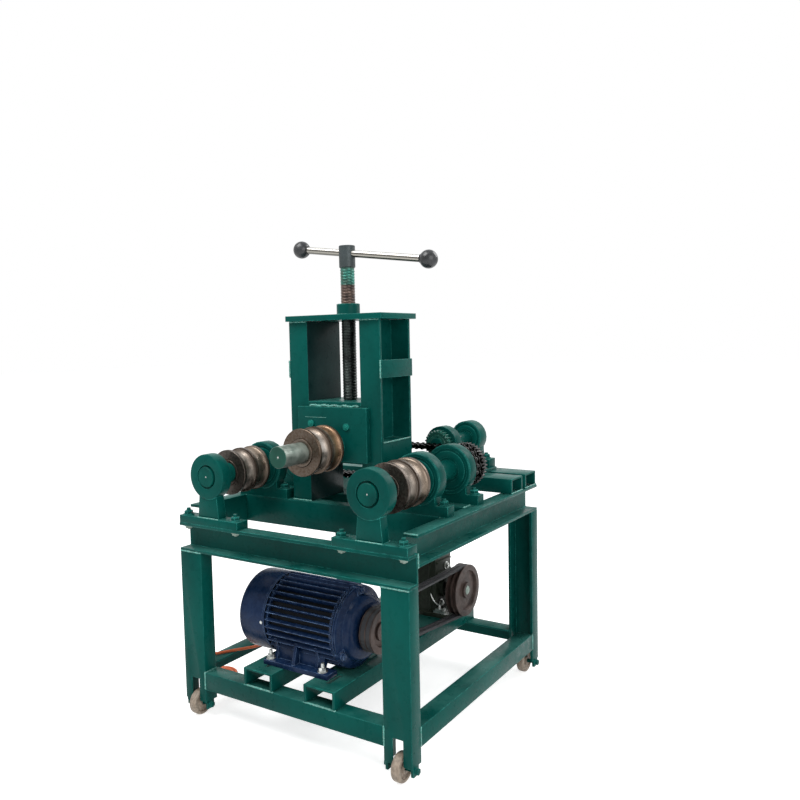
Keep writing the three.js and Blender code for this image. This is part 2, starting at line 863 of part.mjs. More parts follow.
const pinionLine = groupAt(machine, pinionX, 0, pinionHeight);
const pinionFront = pillowShape(pinionBlock, pinionBlockStart, pinionBlockEnd);
piece(pinionLine, "pinion_block_front", pinionFront, green);
const pinionRear = pillowShape(pinionBlock, pinionRearStart, pinionRearEnd);
piece(pinionLine, "pinion_block_rear", pinionRear, green);
const pinionTip = half(gearModule * pinionTeeth);
const pinionRoot = pinionTip - toothDepth;
const pinionOutline = toothedOutline(pinionTeeth, pinionRoot, pinionTip, toothTipShare);
const driveSprocket = () =>
  join(
    sprocketSolid(
      driveChainPitch,
      driveChainTeeth,
      driveToothBelow,
      driveToothAbove,
      driveToothWidth,
      [driveChainMiddle],
    ),
    rod("y", driveHubRadius, driveChainMiddle - driveChainHalf, driveChainMiddle + driveChainHalf),
  );
const pinionShaft = join(
  rod("y", pinionShaftRadius, gearStart - shaftRearOverhang, pinionRearEnd + shaftRearOverhang),
  prism("y", pinionOutline, gearStart, gearEnd),
  driveSprocket(),
);
piece(pinionLine, "pinion_shaft", pinionShaft, darkSteel);
const singleChain = {
  pitch: driveChainPitch,
  teeth: driveChainTeeth,
  plate: driveChainPlateHalf,
  above: driveToothAbove,
  tooth: driveToothWidth,
  width: driveChainWidth,
  middle: driveChainMiddle,
};
const driveChain = chainShape(singleChain, outputAxis, pinionAxis, [driveChainMiddle]);
piece(machine, "drive_chain", driveChain, darkIron);

// Tower columns, each with its boxed-in foot, the right one with a strap across its flange tips
const towerGroup = groupAt(machine, 0, towerMiddle, bedTop);
const towerHalf = half(tower.depth);
const towerTip = towerInner + tower.flange;
function columnShape(side) {
  const outline = channelOutline(tower, side * towerInner, side, -towerHalf);
  const column = prism("z", outline, seatGap, towerHeight - seatGap);
  const strapTop = towerHeight - strapBelowTop;
  const span = (from, to) => (side > 0 ? [from, to] : [-to, -from]);
  const strapX = span(towerTip - cutPast, towerTip + strapThickness);
  const strap = block(...strapX, -towerHalf, towerHalf, strapTop - strapHeight, strapTop);
  const innerY = towerHalf - tower.lip + weldDepth;
  const shelfX = span(towerInner + cutPast, towerTip);
  const shelf = block(...shelfX, -innerY, innerY, shelfHeight - shelfThickness, shelfHeight);
  const doorX = span(towerTip - shelfThickness, towerTip);
  const door = block(...doorX, -innerY, innerY, seatGap, shelfHeight);
  return side > 0 ? join(column, strap, shelf, door) : join(column, shelf, door);
}
piece(towerGroup, "tower_column_left", columnShape(-1), green);
piece(towerGroup, "tower_column_right", columnShape(1), green);
const topPlate = block(
  -topPlateLeft,
  topPlateRight,
  -towerHalf - topPlateFront,
  towerHalf + topPlateRear,
  towerHeight,
  towerHeight + topPlateThickness,
);
const nutTop = towerHeight + topPlateThickness + nutHeightAbove;
const nutBoss = rod("z", nutRadius, towerHeight, nutTop);
const nutBore = rod("z", screwRadius + runningGap, towerHeight - cutPast, nutTop + cutPast);
piece(towerGroup, "tower_top_plate", cut(join(topPlate, nutBoss), nutBore), green);

// Slide: block between the columns with its rear keeper, and the front plate
const slideGroup = groupAt(machine, 0, towerMiddle, bedTop + dieHeight);
const slideHalf = towerInner - runningGap;
const shaftEnd = towerHalf - dieBoreWall;
const collarTop = slideAboveDie - collarCover;
const collarBottom = collarTop - collarThickness;
const keeperFront = towerHalf + runningGap;
const slideBlock = cut(
  join(
    block(-slideHalf, slideHalf, -towerHalf, keeperFront + cutPast, -slideBelowDie, slideAboveDie),
    block(
      -slidePlateHalf,
      slidePlateHalf,
      keeperFront,
      keeperFront + slidePlateThickness,
      -slidePlateBelow,
      slidePlateAbove,
    ),
  ),
  rod("y", dieShaftRadius + runningGap, -towerHalf - cutPast, shaftEnd + runningGap),
  rod("z", collarRadius + runningGap, collarBottom - seatGap, collarTop + seatGap),
  rod("z", neckRadius + runningGap, collarBottom, slideAboveDie + cutPast),
);
piece(slideGroup, "slide_block", slideBlock, green);
const slidePlateRear = -towerHalf - runningGap;
const slidePlateFront = slidePlateRear - slidePlateThickness;
const dieRear = rollerStart + rollerLength - towerMiddle;
const slidePlate = cut(
  join(
    block(
      -slidePlateHalf,
      slidePlateHalf,
      slidePlateFront,
      slidePlateRear,
      -slidePlateBelow,
      slidePlateAbove,
    ),
    rod("y", slideBossRadius, dieRear + dieToBoss, slidePlateFront + cutPast, discFacets),
  ),
  rod("y", dieShaftRadius + runningGap, dieRear, slidePlateRear + cutPast),
);
piece(slideGroup, "slide_front_plate", slidePlate, green);
const dieShaftFront = front - dieShaftFrontOverhang - towerMiddle;
piece(slideGroup, "die_shaft", rod("y", dieShaftRadius, dieShaftFront, shaftEnd), darkSteel);
const dieStart = rollerStart - towerMiddle;
const upperDie = rollerShape(dieStart, rollerLength, dieRadius, dieShaftRadius + seatGap);
piece(slideGroup, "upper_die", upperDie, bareSteel);

// Lead screw, with its collar trapped in the slide block and a cross hole in its head
const slideTop = dieHeight + slideAboveDie;
const headBottom = towerHeight + topPlateThickness + screwHeadAbove;
const headTop = headBottom + screwHeadHeight;
const headMiddle = headBottom + barAboveHeadBottom;
const screwGroup = groupAt(machine, 0, towerMiddle, bedTop + headMiddle);
const screwProfile = [
  [dieHeight + collarBottom, 0],
  [dieHeight + collarBottom, collarRadius],
  [dieHeight + collarTop, collarRadius],
  [dieHeight + collarTop, neckRadius],
  [slideTop + seatGap, neckRadius],
  [slideTop + seatGap, screwRadius],
  [headBottom, screwRadius],
  [headBottom, screwHeadRadius],
  [headTop, screwHeadRadius],
  [headTop, 0],
].map(([along, radius]) => [along - headMiddle, radius]);
const barReach = half(barLength);
const barHole = rod("x", barRadius + runningGap, -collarRadius, collarRadius).rotateY(barTilt);
const leadScrew = cut(turned("z", screwProfile, shaftFacets), barHole);
piece(screwGroup, "lead_screw", leadScrew, darkSteel);
const barGroup = groupAt(screwGroup, 0, 0, 0);
barGroup.rotation.y = barTilt;
const barTube = rod("x", barRadius, barSlip - barReach - knobGrip, barSlip + barReach + knobGrip);
piece(barGroup, "tommy_bar", barTube, chrome);
[["left", -1], ["right", 1]].forEach(([name, side]) => {
  const knobGroup = groupAt(barGroup, barSlip + side * barReach, 0, 0);
  knobGroup.rotation.z = side > 0 ? Math.PI : 0;
  const profile = [];
  for (let i = 0; i <= smallFacets; i += 1) {
    const angle = (Math.PI * i) / smallFacets;
    const end = i === 0 || i === smallFacets;
    profile.push([-knobRadius * Math.cos(angle), end ? 0 : knobRadius * Math.sin(angle)]);
  }
  const socket = rod("x", barRadius + seatGap, -knobGrip - seatGap, knobRadius + cutPast);
  piece(knobGroup, "knob_" + name, cut(turned("x", profile, shaftFacets), socket), blackPlastic);
});

// Worm gearbox on the motor rails, with its output shaft towards the front
const gearboxStart = driveChainMiddle + driveChainHalf + gearboxToChain;
const gearboxMiddle = gearboxStart + half(gearboxDepth);
const gearboxGroup = groupAt(machine, gearboxX, gearboxMiddle, motorRailTop);
const caseHalfX = half(gearboxWidth);
const caseHalfY = half(gearboxDepth);
const baseHalfY = caseHalfY + gearboxBaseLip;
const flangeHalfX = caseHalfX + gearboxFlangeLip;
const flangeHalfY = caseHalfY + gearboxBaseLip;
const capFront = -caseHalfY - outputBossLength;
const wormCapEnd = caseHalfX + wormBossLength;
const housing = cut(
  join(
    block(-gearboxBaseLeft, gearboxBaseRight, -baseHalfY, baseHalfY, seatGap, gearboxBaseThickness),
    block(
      -caseHalfX,
      caseHalfX,
      -caseHalfY,
      caseHalfY,
      gearboxBaseThickness - weldDepth,
      gearboxHeight + weldDepth,
    ),
    block(
      -flangeHalfX,
      flangeHalfX,
      -flangeHalfY,
      flangeHalfY,
      gearboxHeight,
      gearboxHeight + gearboxFlange,
    ),
    rod("y", outputBossRadius, capFront, 0, shaftFacets, 0, outputHeight),
    rod("x", wormBossRadius, -wormCapEnd, wormCapEnd, shaftFacets, 0, wormHeight),
  ),
  rod(
    "y",
    outputRadius + runningGap,
    capFront - cutPast,
    caseHalfY - gearboxWall,
    shaftFacets,
    0,
    outputHeight,
  ),
  rod(
    "x",
    wormRadius + runningGap,
    -caseHalfX + gearboxWall,
    wormCapEnd + cutPast,
    shaftFacets,
    0,
    wormHeight,
  ),
);
piece(gearboxGroup, "gearbox_housing", housing, darkIron);

const outputLine = groupAt(machine, outputAxis[0], 0, outputAxis[1]);
const outputShaft = join(
  driveSprocket(),
  rod(
    "y",
    outputRadius,
    driveChainMiddle - driveChainHalf - shaftRearOverhang,
    gearboxStart + gearboxDepth - gearboxWall - runningGap,
  ),
);
piece(outputLine, "gearbox_output_shaft", outputShaft, darkSteel);

// Two-groove belt pulleys and the two belts
const beltRows = [pulleyCentreX - half(beltPitch), pulleyCentreX + half(beltPitch)];
const pulleyStart = pulleyCentreX - half(pulleyWidth);
const pulleyEnd = pulleyStart + pulleyWidth;
function pulleyShape(radius) {
  const grooveFloor = radius - beltThickness - beltSeat;
  const grooveReach = half(beltWidth) + runningGap;
  const rimInner = grooveFloor - beltThickness;
  const profile = [
    [pulleyStart, 0],
    [pulleyStart, radius],
    ...beltRows.flatMap((x) => [
      [x - grooveReach, radius],
      [x - grooveReach, grooveFloor],
      [x + grooveReach, grooveFloor],
      [x + grooveReach, radius],
    ]),
    [pulleyEnd, radius],
    [pulleyEnd, rimInner],
    [pulleyEnd - pulleyDish, rimInner],
    [pulleyEnd - pulleyDish, pulleyHubRadius],
    [pulleyEnd, pulleyHubRadius],
    [pulleyEnd, 0],
  ];
  return turned("x", profile, discFacets);
}
const wormAxis = [gearboxMiddle, motorRailTop + wormHeight];
const motorAxis = [motorY, motorRailTop + motorShaftHeight];
beltRows.forEach((x, row) => {
  const loop = (depth) => {
    const motorLoop = motorPulleyRadius - depth;
    return bandOutline(motorAxis, motorLoop, wormAxis, wormPulleyRadius - depth, beltArcSteps);
  };
  const belt = prism("x", loop(0), x - half(beltWidth), x + half(beltWidth), [loop(beltThickness)]);
  piece(machine, row === 0 ? "v_belt_inner" : "v_belt_outer", belt, beltRubber);
});
const wormLine = groupAt(machine, 0, ...wormAxis);
const wormInner = gearboxX - caseHalfX + gearboxWall + runningGap;
const wormShaft = rod("x", wormRadius, wormInner, pulleyEnd);
piece(wormLine, "gearbox_pulley", join(wormShaft, pulleyShape(wormPulleyRadius)), brownIron);

// Motor: finned body on two feet, fan cover, end shield, and the rotor with fan and pulley
const motorGroup = groupAt(machine, 0, ...motorAxis);
const bodyRear = motorBodyFront - motorBodyLength;
const footFront = bodyRear + footLength;
const footBottom = seatGap - motorShaftHeight;
const footTopZ = footThickness - motorShaftHeight;
const finOutline = toothedOutline(motorFins, motorCoreRadius, motorFinRadius, finWidthShare);
const footParts = [-1, 1].flatMap((side) => {
  const outer = side * footHalfSpan;
  const inner = side * (footHalfSpan - footWidth);
  const y0 = Math.min(outer, inner);
  const y1 = Math.max(outer, inner);
  const foot = block(bodyRear, footFront, y0, y1, footBottom, footTopZ);
  const ribs = [bodyRear + footRearRibInset, footFront - footFrontRibInset - footRibWidth].map((x) =>
    block(x, x + footRibWidth, y0, y1, footTopZ - weldDepth, footRibTop - motorShaftHeight),
  );
  return [foot, ...ribs];
});
const terminalBox = block(
  terminalX - half(terminalWidth),
  terminalX + half(terminalWidth),
  motorCoreRadius - footThickness,
  motorFinRadius + terminalDepth,
  -half(terminalHeight),
  half(terminalHeight),
);
const glandY = motorFinRadius + terminalDepth - glandInset;
const terminalLeft = terminalX - half(terminalWidth);
const gland = turned(
  "x",
  [
    [terminalLeft - glandLength, 0],
    [terminalLeft - glandLength, glandTipRadius],
    [terminalLeft - half(glandLength), glandRadius],
    [terminalLeft + cutPast, glandRadius],
    [terminalLeft + cutPast, 0],
  ],
  smallFacets,
  glandY,
  -glandDrop,
);
const belly = block(
  bodyRear - cutPast,
  motorBodyFront + cutPast,
  -motorFinRadius,
  motorFinRadius,
  -motorFinRadius - cutPast,
  -motorCoreRadius * bellyShare,
);
const rotorBore = rod(
  "x",
  motorShaftRadius + runningGap,
  bodyRear - cutPast,
  motorBodyFront + shieldLength + shieldBossLength + cutPast,
);
const motorBody = cut(
  join(
    cut(prism("x", finOutline, bodyRear, motorBodyFront), belly),
    ...footParts,
    terminalBox,
    gland,
  ),
  rotorBore,
);
piece(motorGroup, "motor_body", motorBody, navy);

const shieldStart = motorBodyFront + seatGap;
const shieldEnd = motorBodyFront + shieldLength;
const endShield = turned(
  "x",
  [
    [shieldStart, 0],
    [shieldStart, shieldRadius],
    [shieldStart + shieldRim, shieldRadius],
    [shieldStart + 2 * shieldRim, shieldDrumRadius],
    [shieldEnd - shieldRim, shieldDrumRadius],
    [shieldEnd, shieldNeckRadius],
    [shieldEnd, shieldBossRadius],
    [shieldEnd + shieldBossLength, shieldBossRadius],
    [shieldEnd + shieldBossLength, 0],
  ],
  discFacets,
);
piece(motorGroup, "end_shield", cut(endShield, rotorBore), navy);

const coverRear = bodyRear - seatGap - fanCoverLength;
const coverInner = fanCoverRadius - fanCoverWall;
const coverShell = turned(
  "x",
  [
    [coverRear, 0],
    [coverRear, fanCoverRadius - fanCoverEdge],
    [coverRear + fanCoverEdge, fanCoverRadius],
    [bodyRear - seatGap, fanCoverRadius],
    [bodyRear - seatGap, coverInner],
    [coverRear + fanCoverEdge, coverInner],
    [coverRear + fanCoverWall, coverInner - fanCoverEdge],
    [coverRear + fanCoverWall, 0],
  ],
  discFacets,
);
const grilleCuts = Array.from({ length: grilleSlots }, (_, i) =>
  block(
    coverRear - cutPast,
    coverRear + fanCoverWall + cutPast,
    -half(grilleSlotWidth),
    half(grilleSlotWidth),
    grilleInner,
    grilleOuter,
  ).rotateX((2 * Math.PI * i) / grilleSlots),
);
piece(motorGroup, "fan_cover", cut(coverShell, ...grilleCuts), navy);

const fanRear = coverRear + fanSetback;
const blades = Array.from({ length: fanBlades }, (_, i) =>
  block(
    fanRear,
    fanRear + fanBladeHeight,
    -half(fanBladeThickness),
    half(fanBladeThickness),
    fanHubRadius - weldDepth,
    fanRadius,
  ).rotateX((2 * Math.PI * i) / fanBlades),
);
const fanFront = fanRear + fanBladeHeight;
const rotor = join(
  rod("x", motorShaftRadius, fanRear, pulleyEnd),
  rod("x", fanHubRadius, fanRear, fanFront + fanBladeThickness),
  rod("x", fanRadius, fanFront - cutPast, fanFront + fanBladeThickness, discFacets),
  ...blades,
  pulleyShape(motorPulleyRadius),
);
piece(motorGroup, "motor_pulley", rotor, brownIron);

// The cable's free stretch hangs from the gland, lies across the left lower rail and
// drops outside it to the coil on the floor.
const sectionOf = (sides) =>
  Array.from({ length: sides }, (_, i) => {
    const angle = (2 * Math.PI * (i + 0.5)) / sides;
    return [cordRadius * Math.cos(angle), cordRadius * Math.sin(angle)];
  });

function tubeAlong(points, sides, steps) {
  const path = new THREE.CatmullRomCurve3(points, false, "centripetal");
  path.arcLengthDivisions = steps * coilStepsPerTurn;
  const section = new THREE.Shape(toPoints(sectionOf(sides)));
  return new THREE.ExtrudeGeometry(section, { steps, bevelEnabled: false, extrudePath: path });
}

const coilTop = cordRadius + coilLayerPitch * (coilLayers - 1);
const coilRight = coilX + coilOuter;
const glandTip = [terminalLeft - glandLength, motorAxis[0] + glandY, motorAxis[1] - glandDrop];
const cordDiameter = 2 * cordRadius;
const hangingPoints = [
  [-150, -96.5, 259],
  [-185, -104, 224],
  [-225, -124, 182],
  [-262, -152, 154],
  [-294, -182, 142],
  [-328, -222, 139],
  [-350, -257, 139],
  [-378, -304, 139],
  [-385, -316.5, 136.5],
  [-390.3, -325.7, 129],
  [-393.4, -331.3, 117.6],
  [-394.7, -332, 104.6],
  [-394, -323, 82],
  [-391, -303, 57],
  [-385.5, -268, 41],
];
const cordPoints = [
  [glandTip[0] - seatGap, glandTip[1], glandTip[2]],
  [glandTip[0] - cordDiameter - seatGap, glandTip[1], glandTip[2]],
  ...hangingPoints,
  [coilRight, coilY - 2 * cordDiameter - seatGap, coilTop],
  [coilRight, coilY - cordDiameter - seatGap, coilTop],
].map((point) => new THREE.Vector3(...point));
piece(machine, "power_cord", tubeAlong(cordPoints, cordSides, cordSteps), cableOrange);

// The coil winds down from the top layer, each layer a spiral with a climb where it turns.
function coilPoints() {
  const points = [new THREE.Vector3(coilRight, coilY - cordDiameter, coilTop)];
  const layerTurns = coilLayerTurns + coilClimbTurns;
  const turns = coilLayers * layerTurns - coilClimbTurns;
  const inner = coilOuter - coilLayerTurns * coilTurnPitch;
  const steps = Math.round(turns * coilStepsPerTurn);
  for (let i = 0; i <= steps; i += 1) {
    const turn = i / coilStepsPerTurn;
    const layer = Math.min(coilLayers - 1, Math.floor(turn / layerTurns));
    const within = Math.min(coilLayerTurns, turn - layer * layerTurns);
    const climbed = Math.max(0, turn - layer * layerTurns - coilLayerTurns) / coilClimbTurns;
    const inward = layer % 2 === 0;
    const radius = inward ? coilOuter - within * coilTurnPitch : inner + within * coilTurnPitch;
    const angle = 2 * Math.PI * turn;
    points.push(
      new THREE.Vector3(
        coilX + radius * Math.cos(angle),
        coilY + radius * Math.sin(angle),
        coilTop - (layer + climbed) * coilLayerPitch,
      ),
    );
  }
  return points;
}
const windings = coilPoints();
const plugAxis = half(plugHeight);
const leadPoints = [
  [coilRight, coilY + cordDiameter, cordRadius],
  [half(coilRight + plugX), half(coilY + plugY), half(cordRadius + plugAxis)],
  [plugX, plugY - cordDiameter, plugAxis],
  [plugX, plugY - seatGap, plugAxis],
].map((point) => new THREE.Vector3(...point));
const coilSteps = windings.length + 2 * leadPoints.length;
const coil = tubeAlong([...windings, ...leadPoints], coilSides, coilSteps);
piece(machine, "cord_coil", coil, cableOrange);
let leastGap = Infinity;
windings.forEach((point, i) => {
  windings.slice(i + half(coilStepsPerTurn)).forEach((other) => {
    leastGap = Math.min(leastGap, point.distanceTo(other) - cordDiameter);
  });
});
console.log("least gap between the coil's turns, mm:", leastGap.toFixed(2));

// Plug with its nose towards the coil and its pins away from it
const plugGroup = groupAt(machine, plugX, plugY, plugAxis);
const plugEnd = plugNoseLength + plugLength;
const plugOutline = [
  [-half(plugWidth) + plugEdge, -half(plugHeight)],
  [half(plugWidth) - plugEdge, -half(plugHeight)],
  [half(plugWidth), -half(plugHeight) + plugEdge],
  [half(plugWidth), half(plugHeight) - plugEdge],
  [half(plugWidth) - plugEdge, half(plugHeight)],
  [-half(plugWidth) + plugEdge, half(plugHeight)],
  [-half(plugWidth), half(plugHeight) - plugEdge],
  [-half(plugWidth), -half(plugHeight) + plugEdge],
];
const pins = [-1, 0, 1].map((place) =>
  block(
    place * pinSpacing - half(place === 0 ? pinThickness : pinWidth),
    place * pinSpacing + half(place === 0 ? pinThickness : pinWidth),
    plugEnd - cutPast,
    plugEnd + pinLength,
    -half(place === 0 ? pinWidth : pinThickness),
    half(place === 0 ? pinWidth : pinThickness),
  ),
);
const plugNoseProfile = [
  [0, 0],
  [0, plugNoseTipRadius],
  [plugNoseLength + cutPast, plugNoseRadius],
  [plugNoseLength + cutPast, 0],
];
const plugNose = turned("y", plugNoseProfile, shaftFacets);
const plug = join(prism("y", plugOutline, plugNoseLength, plugEnd), plugNose, ...pins);
piece(plugGroup, "plug", plug, blackPlastic);

export default machine;
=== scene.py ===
import json
import math

import bmesh
import bpy
from mathutils import Matrix, Vector

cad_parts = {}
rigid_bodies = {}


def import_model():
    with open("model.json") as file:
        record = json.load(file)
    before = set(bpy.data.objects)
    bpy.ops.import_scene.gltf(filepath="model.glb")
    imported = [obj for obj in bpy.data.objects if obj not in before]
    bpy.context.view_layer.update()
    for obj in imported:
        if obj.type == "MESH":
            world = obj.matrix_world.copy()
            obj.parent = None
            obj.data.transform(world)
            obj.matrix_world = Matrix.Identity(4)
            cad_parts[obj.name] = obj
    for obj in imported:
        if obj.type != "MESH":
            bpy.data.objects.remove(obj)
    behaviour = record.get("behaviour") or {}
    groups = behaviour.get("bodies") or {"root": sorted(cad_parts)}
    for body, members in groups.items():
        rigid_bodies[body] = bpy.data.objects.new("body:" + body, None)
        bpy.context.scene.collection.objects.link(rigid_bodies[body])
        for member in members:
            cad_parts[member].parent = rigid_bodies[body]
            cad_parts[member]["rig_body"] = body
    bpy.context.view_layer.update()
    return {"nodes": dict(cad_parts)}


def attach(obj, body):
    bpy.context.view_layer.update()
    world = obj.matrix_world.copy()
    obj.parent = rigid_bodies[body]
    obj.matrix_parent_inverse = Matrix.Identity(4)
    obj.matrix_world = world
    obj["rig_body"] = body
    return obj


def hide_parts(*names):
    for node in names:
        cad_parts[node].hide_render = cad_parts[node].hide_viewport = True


# Electric pipe bending machine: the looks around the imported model.
# Lengths in the dictionaries are in millimetres unless a note says otherwise.

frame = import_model()
nodes = frame["nodes"]
mm = 0.001
print("frame loaded,", len(nodes), "nodes")


def addObject(name, data):
    made = bpy.data.objects.new(name, data)
    bpy.context.scene.collection.objects.link(made)
    return made


# Camera

photoView = {
    "place": (1.3117, -1.8899, 1.0538),  # metres
    "yaw": 33.21,
    "pitch": 4.28,
    "roll": -1.2,
    "lens": 35.215,
    "shift": 0.018,
}


def placeCamera(look):
    yaw, pitch, roll = (math.radians(look[k]) for k in ("yaw", "pitch", "roll"))
    right = Vector((math.cos(yaw), math.sin(yaw), 0))
    ahead = Vector((-math.sin(yaw) * math.cos(pitch), math.cos(yaw) * math.cos(pitch), -math.sin(pitch)))
    up = right.cross(ahead)
    leanRight = right * math.cos(roll) + up * math.sin(roll)
    leanUp = up * math.cos(roll) - right * math.sin(roll)
    data = bpy.data.cameras.new("photoCamera")
    data.sensor_width = 36
    data.lens = look["lens"]
    data.shift_x = look["shift"]
    data.clip_end = 60
    camera = addObject("photoCamera", data)
    turn = Matrix((leanRight, leanUp, -ahead)).transposed().to_4x4()
    camera.matrix_world = Matrix.Translation(Vector(look["place"])) @ turn
    bpy.context.scene.camera = camera


placeCamera(photoView)
print("camera placed")

# Node helpers; colours are written as hex codes


def put(tree, kind, inputs=None, **settings):
    made = tree.nodes.new(kind)
    for key, value in settings.items():
        setattr(made, key, value)
    for key, value in (inputs or {}).items():
        if isinstance(value, bpy.types.NodeSocket):
            tree.links.new(value, made.inputs[key])
        else:
            made.inputs[key].default_value = value
    return made


def rgb(hexCode):
    parts = [int(hexCode[i:i + 2], 16) / 255 for i in (0, 2, 4)]
    return [p / 12.92 if p < 0.04045 else ((p + 0.055) / 1.055) ** 2.4 for p in parts] + [1]


def startMaterial(name):
    material = bpy.data.materials.new(name)
    material.use_nodes = True
    put(material.node_tree, "ShaderNodeTexCoord", name="place")
    return material, material.node_tree


def placeIn(tree):
    return tree.nodes["place"].outputs["Object"]


def spread(tree, value, low, high, toLow=0.0, toHigh=1.0):
    return put(tree, "ShaderNodeMapRange", {"Value": value, 1: low, 2: high, 3: toLow, 4: toHigh}).outputs[0]


def grain(tree, scale, low=0.0, high=1.0, detail=4, sharp=0.18):
    speckle = put(tree, "ShaderNodeTexNoise", {"Vector": placeIn(tree), "Scale": scale, "Detail": detail})
    return spread(tree, speckle.outputs["Fac"], 0.5 - sharp, 0.5 + sharp, low, high)


def blend(tree, share, first, second):
    first, second = (rgb(tone) if isinstance(tone, str) else tone for tone in (first, second))
    return put(tree, "ShaderNodeMix", {0: share, 6: first, 7: second}, data_type="RGBA").outputs[2]


def sums(tree, operation, first, *others):
    for other in others:
        first = put(tree, "ShaderNodeMath", {0: first, 1: other}, operation=operation).outputs[0]
    return first


def times(tree, first, second):
    return sums(tree, "MULTIPLY", first, second)


def total(tree, *values):
    return sums(tree, "ADD", *values)


def axisOf(tree, vector, axis):
    return put(tree, "ShaderNodeSeparateXYZ", {0: vector}).outputs[axis]


def facingUp(tree, low, high, toLow=0.0, toHigh=1.0):
    normal = put(tree, "ShaderNodeNewGeometry").outputs["Normal"]
    return spread(tree, axisOf(tree, normal, "Z"), low, high, toLow, toHigh)


def along(tree, axis, low, high):
    return spread(tree, axisOf(tree, placeIn(tree), axis), low * mm, high * mm)


def edgeMask(tree, reach):  # reach in metres
    soft = put(tree, "ShaderNodeBevel", {"Radius": reach}, samples=4).outputs[0]
    flat = put(tree, "ShaderNodeNewGeometry").outputs["Normal"]
    agree = put(tree, "ShaderNodeVectorMath", {0: soft, 1: flat}, operation="DOT_PRODUCT")
    return spread(tree, agree.outputs["Value"], 0.995, 0.9)


def waves(tree, scale, distortion, detail, axis):
    given = {"Vector": placeIn(tree), "Scale": scale, "Distortion": distortion, "Detail": detail}
    return put(tree, "ShaderNodeTexWave", given, wave_type="BANDS", bands_direction=axis).outputs["Fac"]


def colourBands(tree, share, given):
    ramp = put(tree, "ShaderNodeValToRGB", {"Fac": share})
    bands = ramp.color_ramp.elements
    bands[0].position, bands[0].color = given[0][0], rgb(given[0][1])
    bands[1].position, bands[1].color = given[-1][0], rgb(given[-1][1])
    for position, colour in given[1:-1]:
        bands.new(position).color = rgb(colour)
    return ramp.outputs["Color"]


def wire(tree, tone, rough, height, bump, depth, metal=0.0, shine=0.5):  # depth in metres
    shader = tree.nodes["Principled BSDF"]
    shader.inputs["Metallic"].default_value = metal
    shader.inputs["Specular IOR Level"].default_value = shine
    relief = put(tree, "ShaderNodeBump", {"Height": height, "Strength": bump, "Distance": depth}).outputs[0]
    for socket, source in (("Base Color", tone), ("Roughness", rough), ("Normal", relief)):
        tree.links.new(source, shader.inputs[socket])


def lookTable(columns, rows):
    return {name: dict(zip(columns.split(), row)) for name, row in rows.items()}


# Painted finishes: brushed-on paint, lighter on edges where it is rubbed thin and as a painted highlight,
# with dust on what faces up

paintLooks = lookTable(
    "deep pale worn dusty broadScale fineScale mottle dust dustScale "
    "edgeWidth edges chipScale gloss peelScale peel shine", {
        "greenPaint": ("033f3a", "055049", "3fa49a", "5f9c92", 5, 50, 0.02, 0.36, 9,
                       2.6, 1.0, 45, 0.24, 140, 0.03, 0.055),
        # weld paint is a lighter copy of the green: painted highlight on the weld crests
        "weldPaintHighlighted": ("0a5a50", "3f9d90", "9fd0c6", "b5d6cf", 60, 160, 0.4, 0.5, 80,
                      1, 0.6, 200, 0.2, 300, 0.5, 0.4),
        "gearPaint": ("04322c", "0a4a40", "58b09c", "11241f", 24, 120, 0.3, 0.5, 40,
                      1.4, 0.9, 160, 0.26, 260, 0.4, 0.4),
        "motorPaint": ("091a36", "102748", "7f9cc4", "33507a", 8, 70, 0.03, 0.16, 14,
                       2.0, 0.8, 60, 0.2, 160, 0.03, 0.12),
        "motorShade": ("010307", "03070e", "0b1524", "070d17", 14, 90, 0.1, 0.1, 20,
                       1, 0.2, 150, 0.45, 220, 0.3, 0.1),
        "gearboxPaint": ("10150f", "20271e", "4d574a", "3f4336", 12, 80, 0.2, 0.3, 20,
                         2, 0.6, 120, 0.4, 190, 0.5, 0.2),
    })
# plate screw paint is a lighter copy of the green: painted highlight on the screw heads
paintLooks["screwPaint"] = {**paintLooks["greenPaint"], "deep": "0f665b", "pale": "22897b", "edges": 0.9}
# tower columns: darker between them, grease on the slide ways and painted shade in the space between the
# columns
paintLooks["towerPaint"] = {
    **paintLooks["greenPaint"],
    "ways": {"inner": 90.3, "outer": 90.9, "deep": "0b2424", "pale": "1c3231", "scale": 12},
}


def paintedFinish(name):
    look = paintLooks[name]
    material, tree = startMaterial(name)
    tone = blend(tree, grain(tree, look["broadScale"]), look["deep"], look["pale"])
    mottle = times(tree, grain(tree, look["fineScale"], detail=8), look["mottle"])
    tone = blend(tree, mottle, tone, look["worn"])
    dust = times(tree, facingUp(tree, 0.75, 1.0), grain(tree, look["dustScale"], 0, look["dust"]))
    tone = blend(tree, dust, tone, look["dusty"])
    # edges lighter: worn paint and a painted highlight along the arrises
    chipsAndHighlights = grain(tree, look["chipScale"], 0, look["edges"])
    tone = blend(tree, times(tree, edgeMask(tree, look["edgeWidth"] * mm), chipsAndHighlights), tone, look["worn"])
    ways = look.get("ways")
    if ways:  # painted shade and grease on the faces between the two columns
        aside = sums(tree, "ABSOLUTE", axisOf(tree, placeIn(tree), "X"), 0.0)
        greasedAndShaded = spread(tree, aside, ways["outer"] * mm, ways["inner"] * mm)
        tone = blend(tree, greasedAndShaded, tone, blend(tree, grain(tree, ways["scale"]), ways["deep"],
                                                ways["pale"]))
    rough = grain(tree, look["fineScale"], look["gloss"], look["gloss"] + 0.16)
    peel = grain(tree, look["peelScale"], detail=2, sharp=0.4)
    wire(tree, tone, rough, peel, look["peel"], 0.0008, shine=look["shine"])
    return material


greenPaint, weldPaintHighlighted, gearPaint, motorPaint, motorShade, gearboxPaint, screwPaint, towerPaint = (
    paintedFinish(name) for name in paintLooks)

# Bare metals: turned rings about an axis, brown stain, oil

